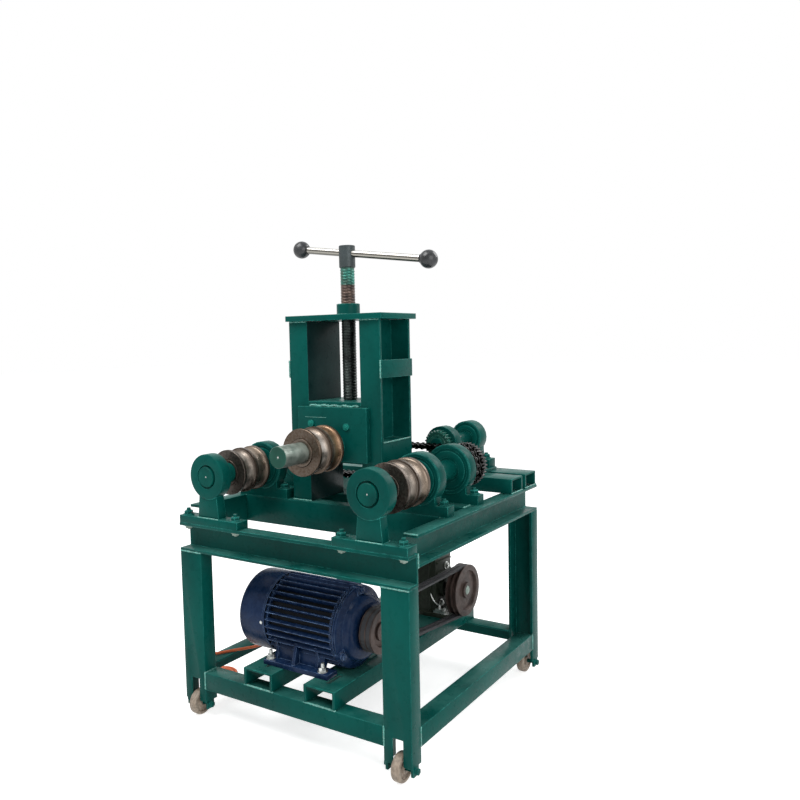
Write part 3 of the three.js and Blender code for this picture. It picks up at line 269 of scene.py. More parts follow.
metalLooks = lookTable(
    "deep pale stain broadScale fineScale stainScale stained metal gloss ringScale ringAxis ringDepth", {
        "shaftSteel": ("5d6f69", "93a49c", "59604f", 9, 120, 22, 0.4, 0.75, 0.32, 190, "Y", 0.15),
        "headSteel": ("22282b", "3a4345", "22302b", 14, 140, 30, 0.4, 0.35, 0.38, 120, "Z", 0.12),
        "oiledSteel": ("040607", "111817", "1a1511", 30, 200, 60, 0.35, 0.6, 0.16, 90, "Y", 0.05),
        "pulleyIron": ("2e2523", "55453f", "1f1917", 16, 150, 30, 0.45, 0.5, 0.42, 150, "X", 0.25),
        "brightZinc": ("a9adac", "d9dcda", "7f7a6a", 60, 260, 90, 0.3, 0.9, 0.24, 200, "Z", 0.05),
    })


def metalFinish(name):
    look = metalLooks[name]
    material, tree = startMaterial(name)
    tone = blend(tree, grain(tree, look["broadScale"]), look["deep"], look["pale"])
    stain = times(tree, grain(tree, look["stainScale"], detail=9, sharp=0.12), look["stained"])
    tone = blend(tree, stain, tone, look["stain"])
    tone = blend(tree, times(tree, grain(tree, look["fineScale"], detail=8), 0.12), tone, look["pale"])
    rough = grain(tree, look["fineScale"], look["gloss"], look["gloss"] + 0.18)
    rings = waves(tree, look["ringScale"], 1.2, 3, look["ringAxis"])
    wire(tree, tone, rough, rings, look["ringDepth"], 0.0004, look["metal"])
    return material


shaftSteel, headSteel, oiledSteel, pulleyIron, brightZinc = (metalFinish(name) for name in metalLooks)


def paintedUnderShade(tree, tone, dark):  # painted shade: faces that look down are darkened towards the dark tone
    return blend(tree, facingUp(tree, 0.35, -0.75, 0.0, 0.8), tone, dark)


# Rollers: bright in the grooves, brown stain on the flanges; the tone follows the length of the roller

rollerLooks = {
    "dieFinish": {
        "from": -299, "to": -193, "stain": "4a3626", "stainScale": 34, "stained": 0.5,
        "bands": [(0.0, "4c3a2b"), (0.075, "54412f"), (0.1, "94887b"), (0.3, "cdc8c1"), (0.46, "66574a"),
                  (0.52, "4c3d31"), (0.62, "bdb3a6"), (0.78, "a5825c"), (1.0, "5a3218")],
    },
    "lowerRollerFinish": {
        "from": -299, "to": -193, "stain": "4c3b30", "stainScale": 30, "stained": 0.5,
        "bands": [(0.0, "37302b"), (0.08, "463c35"), (0.11, "978d82"), (0.28, "b4aca2"), (0.46, "51463d"),
                  (0.53, "4b4038"), (0.64, "aca194"), (0.82, "8b7b6a"), (1.0, "453326")],
    },
}


def rollerFinish(name):
    look = rollerLooks[name]
    material, tree = startMaterial(name)
    banded = colourBands(tree, along(tree, "Y", look["from"], look["to"]), look["bands"])
    smudge = times(tree, grain(tree, look["stainScale"], detail=10, sharp=0.14), look["stained"])
    tone = blend(tree, smudge, banded, look["stain"])
    scratches = waves(tree, 160, 2.5, 4, "Y")
    tone = blend(tree, times(tree, scratches, 0.14), tone, "d8d2c8")
    # painted shade on the faces of the roller that look down
    tone = paintedUnderShade(tree, tone, "1e1712")
    wire(tree, tone, grain(tree, 90, 0.24, 0.46), scratches, 0.16, 0.0004, 0.8)
    return material


dieFinish, lowerRollerFinish = (rollerFinish(name) for name in rollerLooks)

barReflectionLook = {
    "bands": [(0.0, "33322f"), (0.2, "5d5b56"), (0.36, "aeaba2"), (0.48, "6d6a64"), (0.58, "3d3b39"),
              (0.7, "8d8a84"), (0.84, "eceae4"), (1.0, "a9a7a0")],
    "stain": "8f8d86", "stainScale": 18, "stained": 0.2, "gloss": 0.12,
}


def paintedReflectionChrome(name, look):  # polished bar: painted reflection, light and dark streaks along it set by which way each face looks
    material, tree = startMaterial(name)
    # painted reflection: the bands run from faces that look down to faces that look up
    tone = colourBands(tree, facingUp(tree, -1.0, 1.0), look["bands"])
    tint = times(tree, grain(tree, look["stainScale"], detail=6), look["stained"])
    tone = blend(tree, tint, tone, look["stain"])
    rough = grain(tree, 120, look["gloss"], look["gloss"] + 0.12)
    wire(tree, tone, rough, grain(tree, 300, detail=3), 0.05, 0.0003, 0.8)
    return material


barChromeWithPaintedReflection = paintedReflectionChrome("barChromeWithPaintedReflection", barReflectionLook)

shaftLooks = {
    "dieShaftFinish": {"bareEnd": (-392.6, -390.5), "metal": 0.4, "gloss": 0.3, "shine": 0.3,
                       "deep": "0c3a30", "pale": "1c5244"},
    "shaftPaint": {"metal": 0, "gloss": 0.24, "shine": 0.06, "deep": "033f3a", "pale": "08574e"},
}


def paintedShaft(name):  # one shaft is painted at its end face only and bare behind it
    look = shaftLooks[name]
    material, tree = startMaterial(name)
    tone = blend(tree, grain(tree, 11), look["deep"], look["pale"])
    if "bareEnd" in look:
        steel = blend(tree, grain(tree, 40, detail=8), "6d7a72", "a3ada4")
        # painted shade on the bare steel where it looks down
        tone = blend(tree, along(tree, "Y", *look["bareEnd"]), tone, paintedUnderShade(tree, steel, "1c2421"))
    rough = grain(tree, 90, look["gloss"], look["gloss"] + 0.16)
    peel = grain(tree, 260, detail=3, sharp=0.4)
    wire(tree, tone, rough, peel, 0.06, 0.0005, look["metal"], look["shine"])
    return material


dieShaftFinish, shaftPaint = (paintedShaft(name) for name in shaftLooks)

screwLook = {
    "painted": (1213, 1219), "rusty": (1120, 1150), "metal": 0.6,
    "green": (40, "065248", "1d8577"), "rust": (35, "2b211e", "7d685d"), "oil": (50, "0d1313", "39423f"),
}


def threadFinish(name, look):  # green from the spray on the upper threads, bare and brown below
    material, tree = startMaterial(name)
    ragged = times(tree, along(tree, "Z", *look["painted"]), grain(tree, 55, 0.55, 1.0))
    green = blend(tree, grain(tree, look["green"][0]), *look["green"][1:])
    rust, oil = (blend(tree, grain(tree, look[k][0], detail=9), *look[k][1:]) for k in ("rust", "oil"))
    bare = blend(tree, along(tree, "Z", *look["rusty"]), oil, rust)
    tone = blend(tree, ragged, bare, green)
    wire(tree, tone, grain(tree, 120, 0.26, 0.46), grain(tree, 300, detail=3), 0.2, 0.0004, look["metal"])
    return material


screwFinish = threadFinish("screwFinish", screwLook)

# Plastics and rubber

plainLooks = lookTable("deep pale smear broadScale smearScale smeared gloss bumpScale bump", {
    "knobBlack": ("0e1012", "1a1d20", "45484c", 25, 60, 0.25, 0.25, 300, 0.1),
    "beltRubber": ("131416", "22242a", "3a3a3c", 30, 90, 0.4, 0.55, 500, 0.35),
    "cableOrange": ("cf5a28", "e2703c", "a8542f", 14, 80, 0.2, 0.38, 420, 0.1),
    "wheelPlastic": ("8a7a69", "a59585", "5f564c", 40, 120, 0.55, 0.45, 380, 0.35),
})


def plainFinish(name):
    look = plainLooks[name]
    material, tree = startMaterial(name)
    tone = blend(tree, grain(tree, look["broadScale"], detail=6), look["deep"], look["pale"])
    smear = times(tree, grain(tree, look["smearScale"], detail=9, sharp=0.1), look["smeared"])
    tone = blend(tree, smear, tone, look["smear"])
    rough = grain(tree, look["smearScale"], look["gloss"], look["gloss"] + 0.15)
    wire(tree, tone, rough, grain(tree, look["bumpScale"], detail=3), look["bump"], 0.0005)
    return material


knobBlack, beltRubber, cableOrange, wheelPlastic = (plainFinish(name) for name in plainLooks)
print("finishes ready")

# Mesh helpers, all in millimetres

order = {"x": lambda u, v, w: (w, u, v), "y": lambda u, v, w: (u, w, v), "z": lambda u, v, w: (u, v, w)}


def addBox(bm, x0, x1, y0, y1, z0, z1):
    turn = Matrix.Translation(((x0 + x1) / 2, (y0 + y1) / 2, (z0 + z1) / 2))
    turn = turn @ Matrix.Diagonal((x1 - x0, y1 - y0, z1 - z0, 1))
    bmesh.ops.create_cube(bm, size=1, matrix=turn)


def joinRings(bm, rings, closed):
    for first, second in zip(rings, rings[1:] + (rings[:1] if closed else [])):
        count = max(len(first), len(second))
        for i in range(count):
            j = (i + 1) % count
            face = [first[i % len(first)], first[j % len(first)], second[j % len(second)],
                    second[i % len(second)]]
            face = list(dict.fromkeys(face))
            if len(face) > 2:
                bm.faces.new(face)


def addPrism(bm, axis, outline, start, end):
    rings = [[bm.verts.new(order[axis](u, v, w)) for u, v in outline] for w in (start, end)]
    joinRings(bm, rings, False)
    bm.faces.new(rings[0][::-1])
    bm.faces.new(rings[1])


def circle(axis, w, centre, radius, turns):  # turns in radians
    return [order[axis](centre[0] + radius * math.cos(a), centre[1] + radius * math.sin(a), w)
            for a in turns]


def addTurned(bm, axis, profile, centre=(0, 0), steps=64):
    rings = []
    for w, radius in profile:
        turns = [2 * math.pi * i / steps for i in range(steps if radius > 0 else 1)]
        rings.append([bm.verts.new(place) for place in circle(axis, w, centre, radius, turns)])
    joinRings(bm, rings, True)


def tube(start, end, inner, outer):
    return [(start, inner), (start, outer), (end, outer), (end, inner)]


def mirrored(outline):
    return outline + [(u, -v) for u, v in reversed(outline)]


def addMesh(bm, mesh, matrix=Matrix.Identity(4)):
    copy = mesh.copy()
    copy.transform(matrix)
    bm.from_mesh(copy)
    bpy.data.meshes.remove(copy)


def meshFrom(bm, name):
    mesh = bpy.data.meshes.new(name)
    bm.to_mesh(mesh)
    bm.free()
    return mesh


def standAlong(axis, x, y, z):  # turns a ring made about Z so that it stands about another axis
    turns = {"x": Matrix.Rotation(math.pi / 2, 4, "Y"), "y": Matrix.Rotation(-math.pi / 2, 4, "X")}
    return Matrix.Translation((x, y, z)) @ turns[axis]


def plainMesh(holder):  # what the modifiers make of the object, which is then removed
    bpy.context.view_layer.update()
    made = bpy.data.meshes.new_from_object(holder.evaluated_get(bpy.context.evaluated_depsgraph_get()))
    bpy.data.objects.remove(holder)
    return made


def settle(mesh, name, body, material, replaced, bevel, smooth):
    raw = addObject(name + "Raw", mesh)
    if bevel:
        rounding = raw.modifiers.new("rounding", "BEVEL")
        rounding.width = bevel * mm
        rounding.segments = 2
        rounding.limit_method = "ANGLE"
        rounding.angle_limit = math.radians(38)
        rounding.use_clamp_overlap = True
    made = plainMesh(raw)
    made.shade_smooth()
    made.set_sharp_from_angle(angle=math.radians(smooth))
    made.materials.clear()
    made.materials.append(material)
    made.name = name
    piece = addObject(name, made)
    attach(piece, body)
    if replaced:
        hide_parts(*replaced)
    return piece


def makePiece(name, bm, body, material, replaced=(), bevel=0.0, smooth=32):
    bmesh.ops.remove_doubles(bm, verts=bm.verts, dist=0.002)
    bmesh.ops.recalc_face_normals(bm, faces=bm.faces)
    bmesh.ops.scale(bm, vec=(mm, mm, mm), verts=bm.verts)
    return settle(meshFrom(bm, name), name, body, material, replaced, bevel, smooth)


def turnedPiece(name, body, material, axis, centre, profiles, steps=64, **settings):
    bm = bmesh.new()
    for profile in profiles:
        addTurned(bm, axis, profile, centre, steps)
    return makePiece(name, bm, body, material, **settings)


def roundedCopy(node, material, bevel):
    bm = bmesh.new()
    bm.from_mesh(nodes[node].data)
    bmesh.ops.remove_doubles(bm, verts=bm.verts, dist=0.00001)
    bmesh.ops.dissolve_limit(bm, angle_limit=math.radians(1), verts=bm.verts, edges=bm.edges)
    first, *rest = node.split("_")
    name = first + "".join(word.capitalize() for word in rest)
    return settle(meshFrom(bm, node), name, nodes[node]["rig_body"], material, [node], bevel, 32)


# Geometry Nodes trees, each with its sizes as named inputs

kinds = {"length": "NodeSocketFloat", "count": "NodeSocketInt", "vector": "NodeSocketVector",
         "material": "NodeSocketMaterial"}


def startTree(name, inputs):  # gives the tree, its incoming geometry and its other inputs in order
    tree = bpy.data.node_groups.new(name, "GeometryNodeTree")
    tree.interface.new_socket("Geometry", in_out="INPUT", socket_type="NodeSocketGeometry")
    for label, kind in inputs.items():
        tree.interface.new_socket(label, in_out="INPUT", socket_type=kinds[kind])
    tree.interface.new_socket("Geometry", in_out="OUTPUT", socket_type="NodeSocketGeometry")
    given = put(tree, "NodeGroupInput").outputs
    return tree, given["Geometry"], [given[label] for label in inputs]


def endTree(tree, geometry, material):
    real = put(tree, "GeometryNodeRealizeInstances", {0: geometry}).outputs[0]
    painted = put(tree, "GeometryNodeSetMaterial", {"Geometry": real, "Material": material}).outputs[0]
    put(tree, "NodeGroupOutput", {0: painted})
    return tree


def moved(tree, geometry, x=0.0, y=0.0, z=0.0, turn=(0, 0, 0)):
    place = put(tree, "ShaderNodeCombineXYZ", {0: x, 1: y, 2: z}).outputs[0]
    return put(tree, "GeometryNodeTransform", {"Geometry": geometry, "Translation": place,
                                               "Rotation": turn}).outputs[0]


def drum(tree, sides, low, high, height, base=0.0):
    given = {"Vertices": sides, "Radius Bottom": low, "Radius Top": high, "Depth": height}
    return moved(tree, put(tree, "GeometryNodeMeshCone", given).outputs["Mesh"], z=base)


def merged(tree, *shapes):
    join = put(tree, "GeometryNodeJoinGeometry")
    for shape in reversed(shapes):
        tree.links.new(shape, join.inputs[0])
    return join.outputs[0]


def turnTo(tree, vector, axis, **settings):
    return put(tree, "FunctionNodeAlignRotationToVector", {"Vector": vector}, axis=axis,
               **settings).outputs[0]


def instances(tree, points, shape, **given):
    given = {"Points": points, "Instance": shape, **given}
    return put(tree, "GeometryNodeInstanceOnPoints", given).outputs[0]


def boltTree():
    tree, points, (head, height, washer, washerHeight, stud, studLength, facing,
                   material) = startTree("boltsOnPoints", {
        "Head radius": "length", "Head height": "length", "Washer radius": "length",
        "Washer height": "length",
        "Stud radius": "length", "Stud length": "length", "Facing": "vector", "Material": "material",
    })
    flatHeight = times(tree, height, 0.82)
    crownBase = total(tree, washerHeight, flatHeight)
    studBase = total(tree, washerHeight, times(tree, height, 0.98))
    bolt = merged(
        tree,
        drum(tree, 28, washer, washer, washerHeight),
        drum(tree, 6, head, head, flatHeight, washerHeight),
        drum(tree, 6, head, times(tree, head, 0.82), times(tree, height, 0.18), crownBase),
        drum(tree, 16, stud, times(tree, stud, 0.85), studLength, studBase),
    )
    return endTree(tree, instances(tree, points, bolt, Rotation=turnTo(tree, facing, "Z")), material)


def ringTree():
    tree, shape, (count, radius, material) = startTree("ringOfShapes", {
        "Count": "count", "Radius": "length", "Material": "material",
    })
    around = put(tree, "GeometryNodeMeshCircle", {"Vertices": count, "Radius": radius}).outputs[0]
    turn = turnTo(tree, put(tree, "GeometryNodeInputPosition").outputs[0], "X", pivot_axis="Z")
    return endTree(tree, instances(tree, around, shape, Rotation=turn), material)


def threadTree():
    tree, _, (turns, radius, length, ridge, material) = startTree("screwThread", {
        "Turns": "length", "Radius": "length", "Length": "length", "Ridge": "length", "Material": "material",
    })
    spiral = put(tree, "GeometryNodeCurveSpiral", {
        "Resolution": 28, "Rotations": turns, "Start Radius": radius, "End Radius": radius, "Height": length,
    })
    rim = put(tree, "GeometryNodeCurvePrimitiveCircle", {"Resolution": 6, "Radius": ridge}, mode="RADIUS")
    upright = put(tree, "GeometryNodeSetCurveNormal", {0: spiral.outputs[0]}, mode="Z_UP")
    given = {"Curve": upright.outputs[0], "Profile Curve": rim.outputs[0], "Fill Caps": True}
    return endTree(tree, put(tree, "GeometryNodeCurveToMesh", given).outputs[0], material)


def chainTree():
    tree, path, (count, pitch, height, thickness, rollerRadius, width, material) = startTree("chainOnLoop", {
        "Links": "count", "Pitch": "length", "Plate height": "length", "Plate thickness": "length",
        "Roller radius": "length", "Inner width": "length", "Material": "material",
    })
    loop = put(tree, "GeometryNodeMeshToCurve", {0: path}).outputs[0]
    spaced = put(tree, "GeometryNodeResampleCurve", {"Curve": loop, "Count": count}).outputs[0]
    turn = turnTo(tree, put(tree, "GeometryNodeInputTangent").outputs[0], "X", pivot_axis="Y")
    eyeRadius = times(tree, height, 0.5)
    reach = times(tree, pitch, 0.5)
    ends = (reach, times(tree, reach, -1))
    across = (-math.pi / 2, 0, 0)

    def rods(sides, radius, length, start):  # one at each end of the link
        rod = drum(tree, sides, radius, radius, length)
        return [moved(tree, rod, x, start, turn=across) for x in ends]

    def plate(offset):
        low = total(tree, offset, times(tree, thickness, -0.5))
        size = put(tree, "ShaderNodeCombineXYZ",
                   {0: pitch, 1: thickness, 2: times(tree, height, 0.62)}).outputs[0]
        waist = put(tree, "GeometryNodeMeshCube", {"Size": size}).outputs["Mesh"]
        return merged(tree, *rods(10, eyeRadius, thickness, low), moved(tree, waist, y=offset))

    inner = total(tree, times(tree, width, 0.5), times(tree, thickness, 0.5))
    outer = total(tree, inner, thickness)
    pinLength = total(tree, times(tree, outer, 2), thickness, thickness)
    pins = rods(8, times(tree, rollerRadius, 0.5), pinLength, times(tree, pinLength, -0.5))
    rollers = rods(12, rollerRadius, width, times(tree, width, -0.5))
    outerLink = merged(tree, plate(outer), plate(times(tree, outer, -1)), *pins, *rollers)
    innerLink = merged(tree, plate(inner), plate(times(tree, inner, -1)))
    odd = sums(tree, "MODULO", put(tree, "GeometryNodeInputIndex").outputs[0], 2.0)
    even = sums(tree, "SUBTRACT", 1.0, odd)
    links = [instances(tree, spaced, link, Rotation=turn, Selection=chosen)
             for link, chosen in ((outerLink, odd), (innerLink, even))]
    return endTree(tree, merged(tree, *links), material)


def weldTree():
    tree, line, (spacing, radius, seed, material) = startTree("weldBeads", {
        "Spacing": "length", "Bead": "length", "Seed": "count", "Material": "material",
    })
    seam = put(tree, "GeometryNodeMeshToCurve", {0: line}).outputs[0]
    spaced = put(tree, "GeometryNodeResampleCurve", {"Curve": seam, "Length": spacing},
                 mode="LENGTH").outputs[0]
    bead = put(tree, "GeometryNodeMeshIcoSphere", {"Radius": radius, "Subdivisions": 2}).outputs["Mesh"]
    size = put(tree, "FunctionNodeRandomValue", {0: (0.75, 0.75, 0.6), 1: (1.25, 1.25, 1.15), "Seed": seed},
               data_type="FLOAT_VECTOR").outputs[0]
    return endTree(tree, instances(tree, spaced, bead, Scale=size), material)


trees = {"bolts": boltTree(), "ring": ringTree(), "thread": threadTree(), "chain": chainTree(),
         "weld": weldTree()}
print("geometry trees ready")


def growMesh(kind, base, *values):  # runs a tree on a mesh and returns the plain result, in millimetres
    holder = addObject(kind + "Holder", base)
    modifier = holder.modifiers.new(kind, "NODES")
    modifier.node_group = trees[kind]
    sockets = [item for item in trees[kind].interface.items_tree if item.in_out == "INPUT"]
    for socket, value in zip(sockets[1:], values, strict=True):
        modifier[socket.identifier] = float(value) if socket.socket_type == kinds["length"] else value
    return plainMesh(holder)


def pointMesh(points, edges=()):
    mesh = bpy.data.meshes.new("places")
    mesh.from_pydata([tuple(p) for p in points], list(edges), [])
    return mesh


def corners(xs, ys, z):
    return [(x, y, z) for y in ys for x in xs]


boltSizes = {  # head radius and height, washer radius and height, stud radius and length
    "block": (12.6, 10.5, 15, 2.6, 6.2, 5),
    "pinion": (12.4, 10.5, 15, 2.6, 6.2, 5),
    "support": (12.4, 9.6, 15.5, 2.6, 6.2, 7),
    "supportNut": (10.5, 6.5, 13, 1.6, 5.5, 2.5),
    "plateScrew": (5.2, 2.4, 9.4, 4.8, 2, 0.4),
    "keeper": (8.5, 5.5, 10.5, 1.4, 3, 1),
    "motorStud": (10.6, 9, 14, 2.4, 5.4, 12),
    "shield": (9, 7, 10.5, 1.5, 4, 3),
    "cover": (3.6, 1.2, 4.6, 0.4, 2, 0.3),
    "lid": (4, 2.4, 5.4, 0.8, 2.4, 0.4),
    "flange": (7, 6, 9, 1.6, 4, 4),
    "base": (10, 8.5, 13, 2.2, 5.4, 7),
    "wormCap": (4.6, 4, 6, 1, 2.6, 1),
    "outputCap": (4, 2.6, 5.2, 0.8, 2.4, 0.6),
    "oilPlug": (9, 7, 12, 2, 5, 2),
}
headings = {"up": (0, 0, 1), "down": (0, 0, -1), "front": (0, -1, 0), "rear": (0, 1, 0), "right": (1, 0, 0),
            "left": (-1, 0, 0)}


def boltsOn(name, places, heading, kind, material, body="stand"):
    bm = bmesh.new()
    addMesh(bm, growMesh("bolts", pointMesh(places), *boltSizes[kind], headings[heading], material))
    return makePiece(name, bm, body, material, smooth=28)


def ringOf(bm, outline, thickness, count, radius, matrix, material):  # outline is (outwards, sideways)
    tooth = bmesh.new()
    addPrism(tooth, "z", outline, -thickness / 2, thickness / 2)
    bmesh.ops.recalc_face_normals(tooth, faces=tooth.faces)
    addMesh(bm, growMesh("ring", meshFrom(tooth, "tooth"), count, radius, material), matrix)


def weldAlong(name, body, lines, bead, seed):
    bm = bmesh.new()
    for i, line in enumerate(lines):
        base = pointMesh(line, [(k, k + 1) for k in range(len(line) - 1)])
        addMesh(bm, growMesh("weld", base, bead * 0.85, bead, seed + i, weldPaintHighlighted))
    bmesh.ops.scale(bm, vec=(mm, mm, mm), verts=bm.verts)
    return settle(meshFrom(bm, name), name, body, weldPaintHighlighted, (), 0, 60)


# Mains cable: hangs from the gland, lies over the left lower rail, drops to a coil on the floor

cable = {
    "radius": 4.25,
    "length": 2.748,  # metres
    "gland": (-108, -101, 274.9),
    "hanging": [
        (-150, -96.5, 259), (-185, -104, 224), (-225, -124, 182), (-262, -152, 154), (-294, -182, 142),
        (-328, -222, 139), (-350, -257, 139), (-378, -304, 139), (-385, -316.5, 136.5),
        (-390.3, -325.7, 129),
        (-393.4, -331.3, 117.6), (-394.7, -332, 104.6), (-394, -323, 82), (-391, -303, 57),
        (-385.5, -268, 41),
    ],
    "coilCentre": (-432, -204),
    "coilOuter": 54.6,
    "turnPitch": 10.5,
    "layerPitch": 9.5,
    "layers": 4,
    "layerTurns": 1.375,
    "climbTurns": 0.5,
    "stepsPerTurn": 24,
    "plug": (-380, -136, 15),
    "gap": 0.3,
    "leastStep": 1.5,
}


def coilTurns(c):
    top = c["radius"] + c["layerPitch"] * (c["layers"] - 1)
    perLayer = c["layerTurns"] + c["climbTurns"]
    turns = c["layers"] * perLayer - c["climbTurns"]
    inner = c["coilOuter"] - c["layerTurns"] * c["turnPitch"]
    points = []
    for i in range(round(turns * c["stepsPerTurn"]) + 1):
        turn = i / c["stepsPerTurn"]
        layer = min(c["layers"] - 1, int(turn // perLayer))
        within = min(c["layerTurns"], turn - layer * perLayer)
        climbed = max(0, turn - layer * perLayer - c["layerTurns"]) / c["climbTurns"]
        moved = within * c["turnPitch"]
        radius = c["coilOuter"] - moved if layer % 2 == 0 else inner + moved
        height = top - (layer + climbed) * c["layerPitch"]
        points += circle("z", height, c["coilCentre"], radius, [2 * math.pi * turn])
    return points


def smoothRoute(points, steps):  # centripetal curve through the points
    given = [Vector(p) for p in points]
    given = [given[0] * 2 - given[1]] + given + [given[-1] * 2 - given[-2]]
    route = []
    for a, b, c, d in zip(given, given[1:], given[2:], given[3:]):
        gaps = [max((q - p).length ** 0.5, 0.0001) for p, q in ((a, b), (b, c), (c, d))]
        slopeB = ((b - a) / gaps[0] - (c - a) / (gaps[0] + gaps[1]) + (c - b) / gaps[1]) * gaps[1]
        slopeC = ((c - b) / gaps[1] - (d - b) / (gaps[1] + gaps[2]) + (d - c) / gaps[2]) * gaps[1]
        for i in range(steps):
            t = i / steps
            route.append(b * (2 * t ** 3 - 3 * t ** 2 + 1) + slopeB * (t ** 3 - 2 * t ** 2 + t)
                         + c * (3 * t ** 2 - 2 * t ** 3) + slopeC * (t ** 3 - t ** 2))
    return route + [given[-2]]


def layCable(c):
    diameter = 2 * c["radius"]
    x, y = c["coilCentre"]
    right = x + c["coilOuter"]
    top = c["radius"] + c["layerPitch"] * (c["layers"] - 1)
    gx, gy, gz = c["gland"]
    px, py, pz = c["plug"]
    free = [(gx, gy, gz), (gx - c["gap"], gy, gz), (gx - diameter - c["gap"], gy, gz)] + c["hanging"]
    free += [(right, y - 2 * diameter - c["gap"], top), (right, y - diameter - c["gap"], top)]
    tail = [
        (right, y + diameter, c["radius"]),
        ((right + px) / 2, (y + py) / 2, (c["radius"] + pz) / 2),
        (px, py - diameter, pz),
        (px, py - c["gap"], pz),
    ]
    route = [Vector(point) for point in smoothRoute(free, 6) + coilTurns(c) + smoothRoute(tail, 4)]
    kept = route[:1]
    for point in route[1:]:
        if (point - kept[-1]).length > c["leastStep"]:
            kept.append(point)
    data = bpy.data.curves.new("powerCable", "CURVE")
    data.dimensions = "3D"
    spline = data.splines.new("POLY")
    spline.points.add(len(kept) - 1)
    for point, target in zip(kept, spline.points):
        target.co = [value * mm for value in point] + [1]
    data.bevel_depth = c["radius"] * mm
    data.bevel_resolution = 4
    data.use_fill_caps = True
    data.materials.append(cableOrange)
    piece = addObject("powerCable", data)
    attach(piece, "stand")
    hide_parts("power_cord", "cord_coil")
    length = sum((b - a).length for a, b in zip(kept, kept[1:])) * mm
    print("cable length along its line:", round(length, 3), "m")
    return piece


cableLine = layCable(cable)
plug = {"arris": 1.6, "ribs": 4, "ribFrom": 27, "ribStep": 7, "ribWidth": 3, "half": 20, "proud": 1.2,
        "halfHeight": 9,
        "rings": 4, "ringFrom": 3, "ringStep": 4.2, "ringRadius": 7.4, "ringGrowth": 0.8}


def makePlug(p):
    px, py, pz = cable["plug"]
    grip = bmesh.new()
    for side in (-1, 1):
        for i in range(p["ribs"]):
            y = py + p["ribFrom"] + i * p["ribStep"]
            addBox(grip, px + side * p["half"], px + side * (p["half"] + p["proud"]), y, y + p["ribWidth"],
                   pz - p["halfHeight"], pz + p["halfHeight"])
    relief = []
    for i in range(p["rings"]):
        y, r = py + p["ringFrom"] + i * p["ringStep"], p["ringRadius"] + i * p["ringGrowth"]
        relief.append([(y, r - 2), (y, r + 1), (y + 2, r + 1.2), (y + 2, r - 2)])
    return [
        roundedCopy("plug", knobBlack, p["arris"]),
        makePiece("plugGrip", grip, "stand", knobBlack, bevel=0.5),
        turnedPiece("plugRelief", "stand", knobBlack, "y", (px, pz), relief, 28, bevel=0.3),
    ]


makePlug(plug)
print("cable and plug laid")

# Stand: rolled channel and angle with rounded arrises

arrises = {
    1.0: "tower_top_plate",
    1.2: "bearing_platform slide_block slide_front_plate",
    1.4: "leg_front_left leg_front_right leg_rear_left leg_rear_right lower_rail_front lower_rail_rear "
         "lower_rail_left lower_rail_right front_beam side_beam_left side_beam_right "
         "cross_member_front cross_member_rear motor_rail_left motor_rail_right",
    1.6: "pillow_block_front_left pillow_block_rear_left pillow_block_front_right pillow_block_rear_right "
         "pinion_block_front pinion_block_rear",
}
for arris, painted in arrises.items():
    for node in painted.split():
        roundedCopy(node, greenPaint, arris)

standWelds = {
    "bead": 2.6,
    "seed": 11,
    "lines": [
        [(-378, -384, 475.3), (-302, -384, 475.3)], [(302, -384, 475.3), (378, -384, 475.3)],
        [(-301, -384.5, 86), (-301, -384.5, 132)], [(301, -384.5, 86), (301, -384.5, 132)],
        [(-300.5, -384, 133.4), (-300.5, -344, 133.4)], [(300.5, -384, 133.4), (300.5, -344, 133.4)],
        [(-379, -342, 88), (-379, -342, 132)], [(379, -342, 88), (379, -342, 132)],
        [(379, 342, 88), (379, 342, 132)], [(-379, 342, 88), (-379, 342, 132)],
        [(-152, -383, 134), (-52, -383, 134)], [(55, -383, 134), (155, -383, 134)],
        [(-152, 383, 134), (-52, 383, 134)], [(55, 383, 134), (155, 383, 134)],
        [(380, -341.5, 521), (380, -341.5, 554)], [(-380, -341.5, 521), (-380, -341.5, 554)],
        [(344, -341.5, 599), (378, -341.5, 599)],
        [(-336, -155, 599), (-336, -116, 599)], [(336, -155, 599), (336, -116, 599)],
        [(-336, -24, 599), (-336, 54, 599)], [(336, -24, 599), (336, 54, 599)],
        [(375, 206, 601), (375, 283, 601)], [(375, 306, 601), (375, 384, 601)],
        [(-375, 206, 601), (-375, 283, 601)], [(-375, 306, 601), (-375, 384, 601)],
    ],
}
weldAlong("standWelds", "stand", standWelds["lines"], standWelds["bead"], standWelds["seed"])

# Wheels: moulded rim with a recessed web and a rounded tread

wheel = {"x": 340, "y": 367, "radius": 36, "halfWidth": 12.5, "flat": 6.3, "hub": 13, "bore": 6.65,
         "web": 7, "rim": 27,
         "round": 6, "roundTurns": (math.pi / 2, 1.2, 0.8, 0.4, 0), "draft": 1.5, "arris": 0.5}


def makeWheel(p, name, node, x, y):
    half, web, draft = p["halfWidth"], p["web"], p["draft"]
    profile = [(-half, p["bore"]), (-half, p["hub"]), (-web, p["hub"] + draft), (-web, p["rim"] - draft),
               (-half + p["arris"], p["rim"])]
    profile += [(-p["flat"] - p["round"] * math.sin(a), p["radius"] - p["round"] * (1 - math.cos(a)))
                for a in p["roundTurns"]]
    profile += [(-offset, r) for offset, r in reversed(profile)]
    profile = [(x + offset, r) for offset, r in profile]
    turnedPiece(name, node[len("caster_"):], wheelPlastic, "x", (y, p["radius"]), [profile], 72,
                replaced=[node],
                bevel=p["arris"])


for end, endSign in (("front", -1), ("rear", 1)):
    for side, sign in (("left", -1), ("right", 1)):
        makeWheel(wheel, "wheel" + end.capitalize() + side.capitalize(), "caster_wheel_" + end + "_" + side,
                  sign * wheel["x"], endSign * wheel["y"])
print("stand and wheels done")

# Roller lines

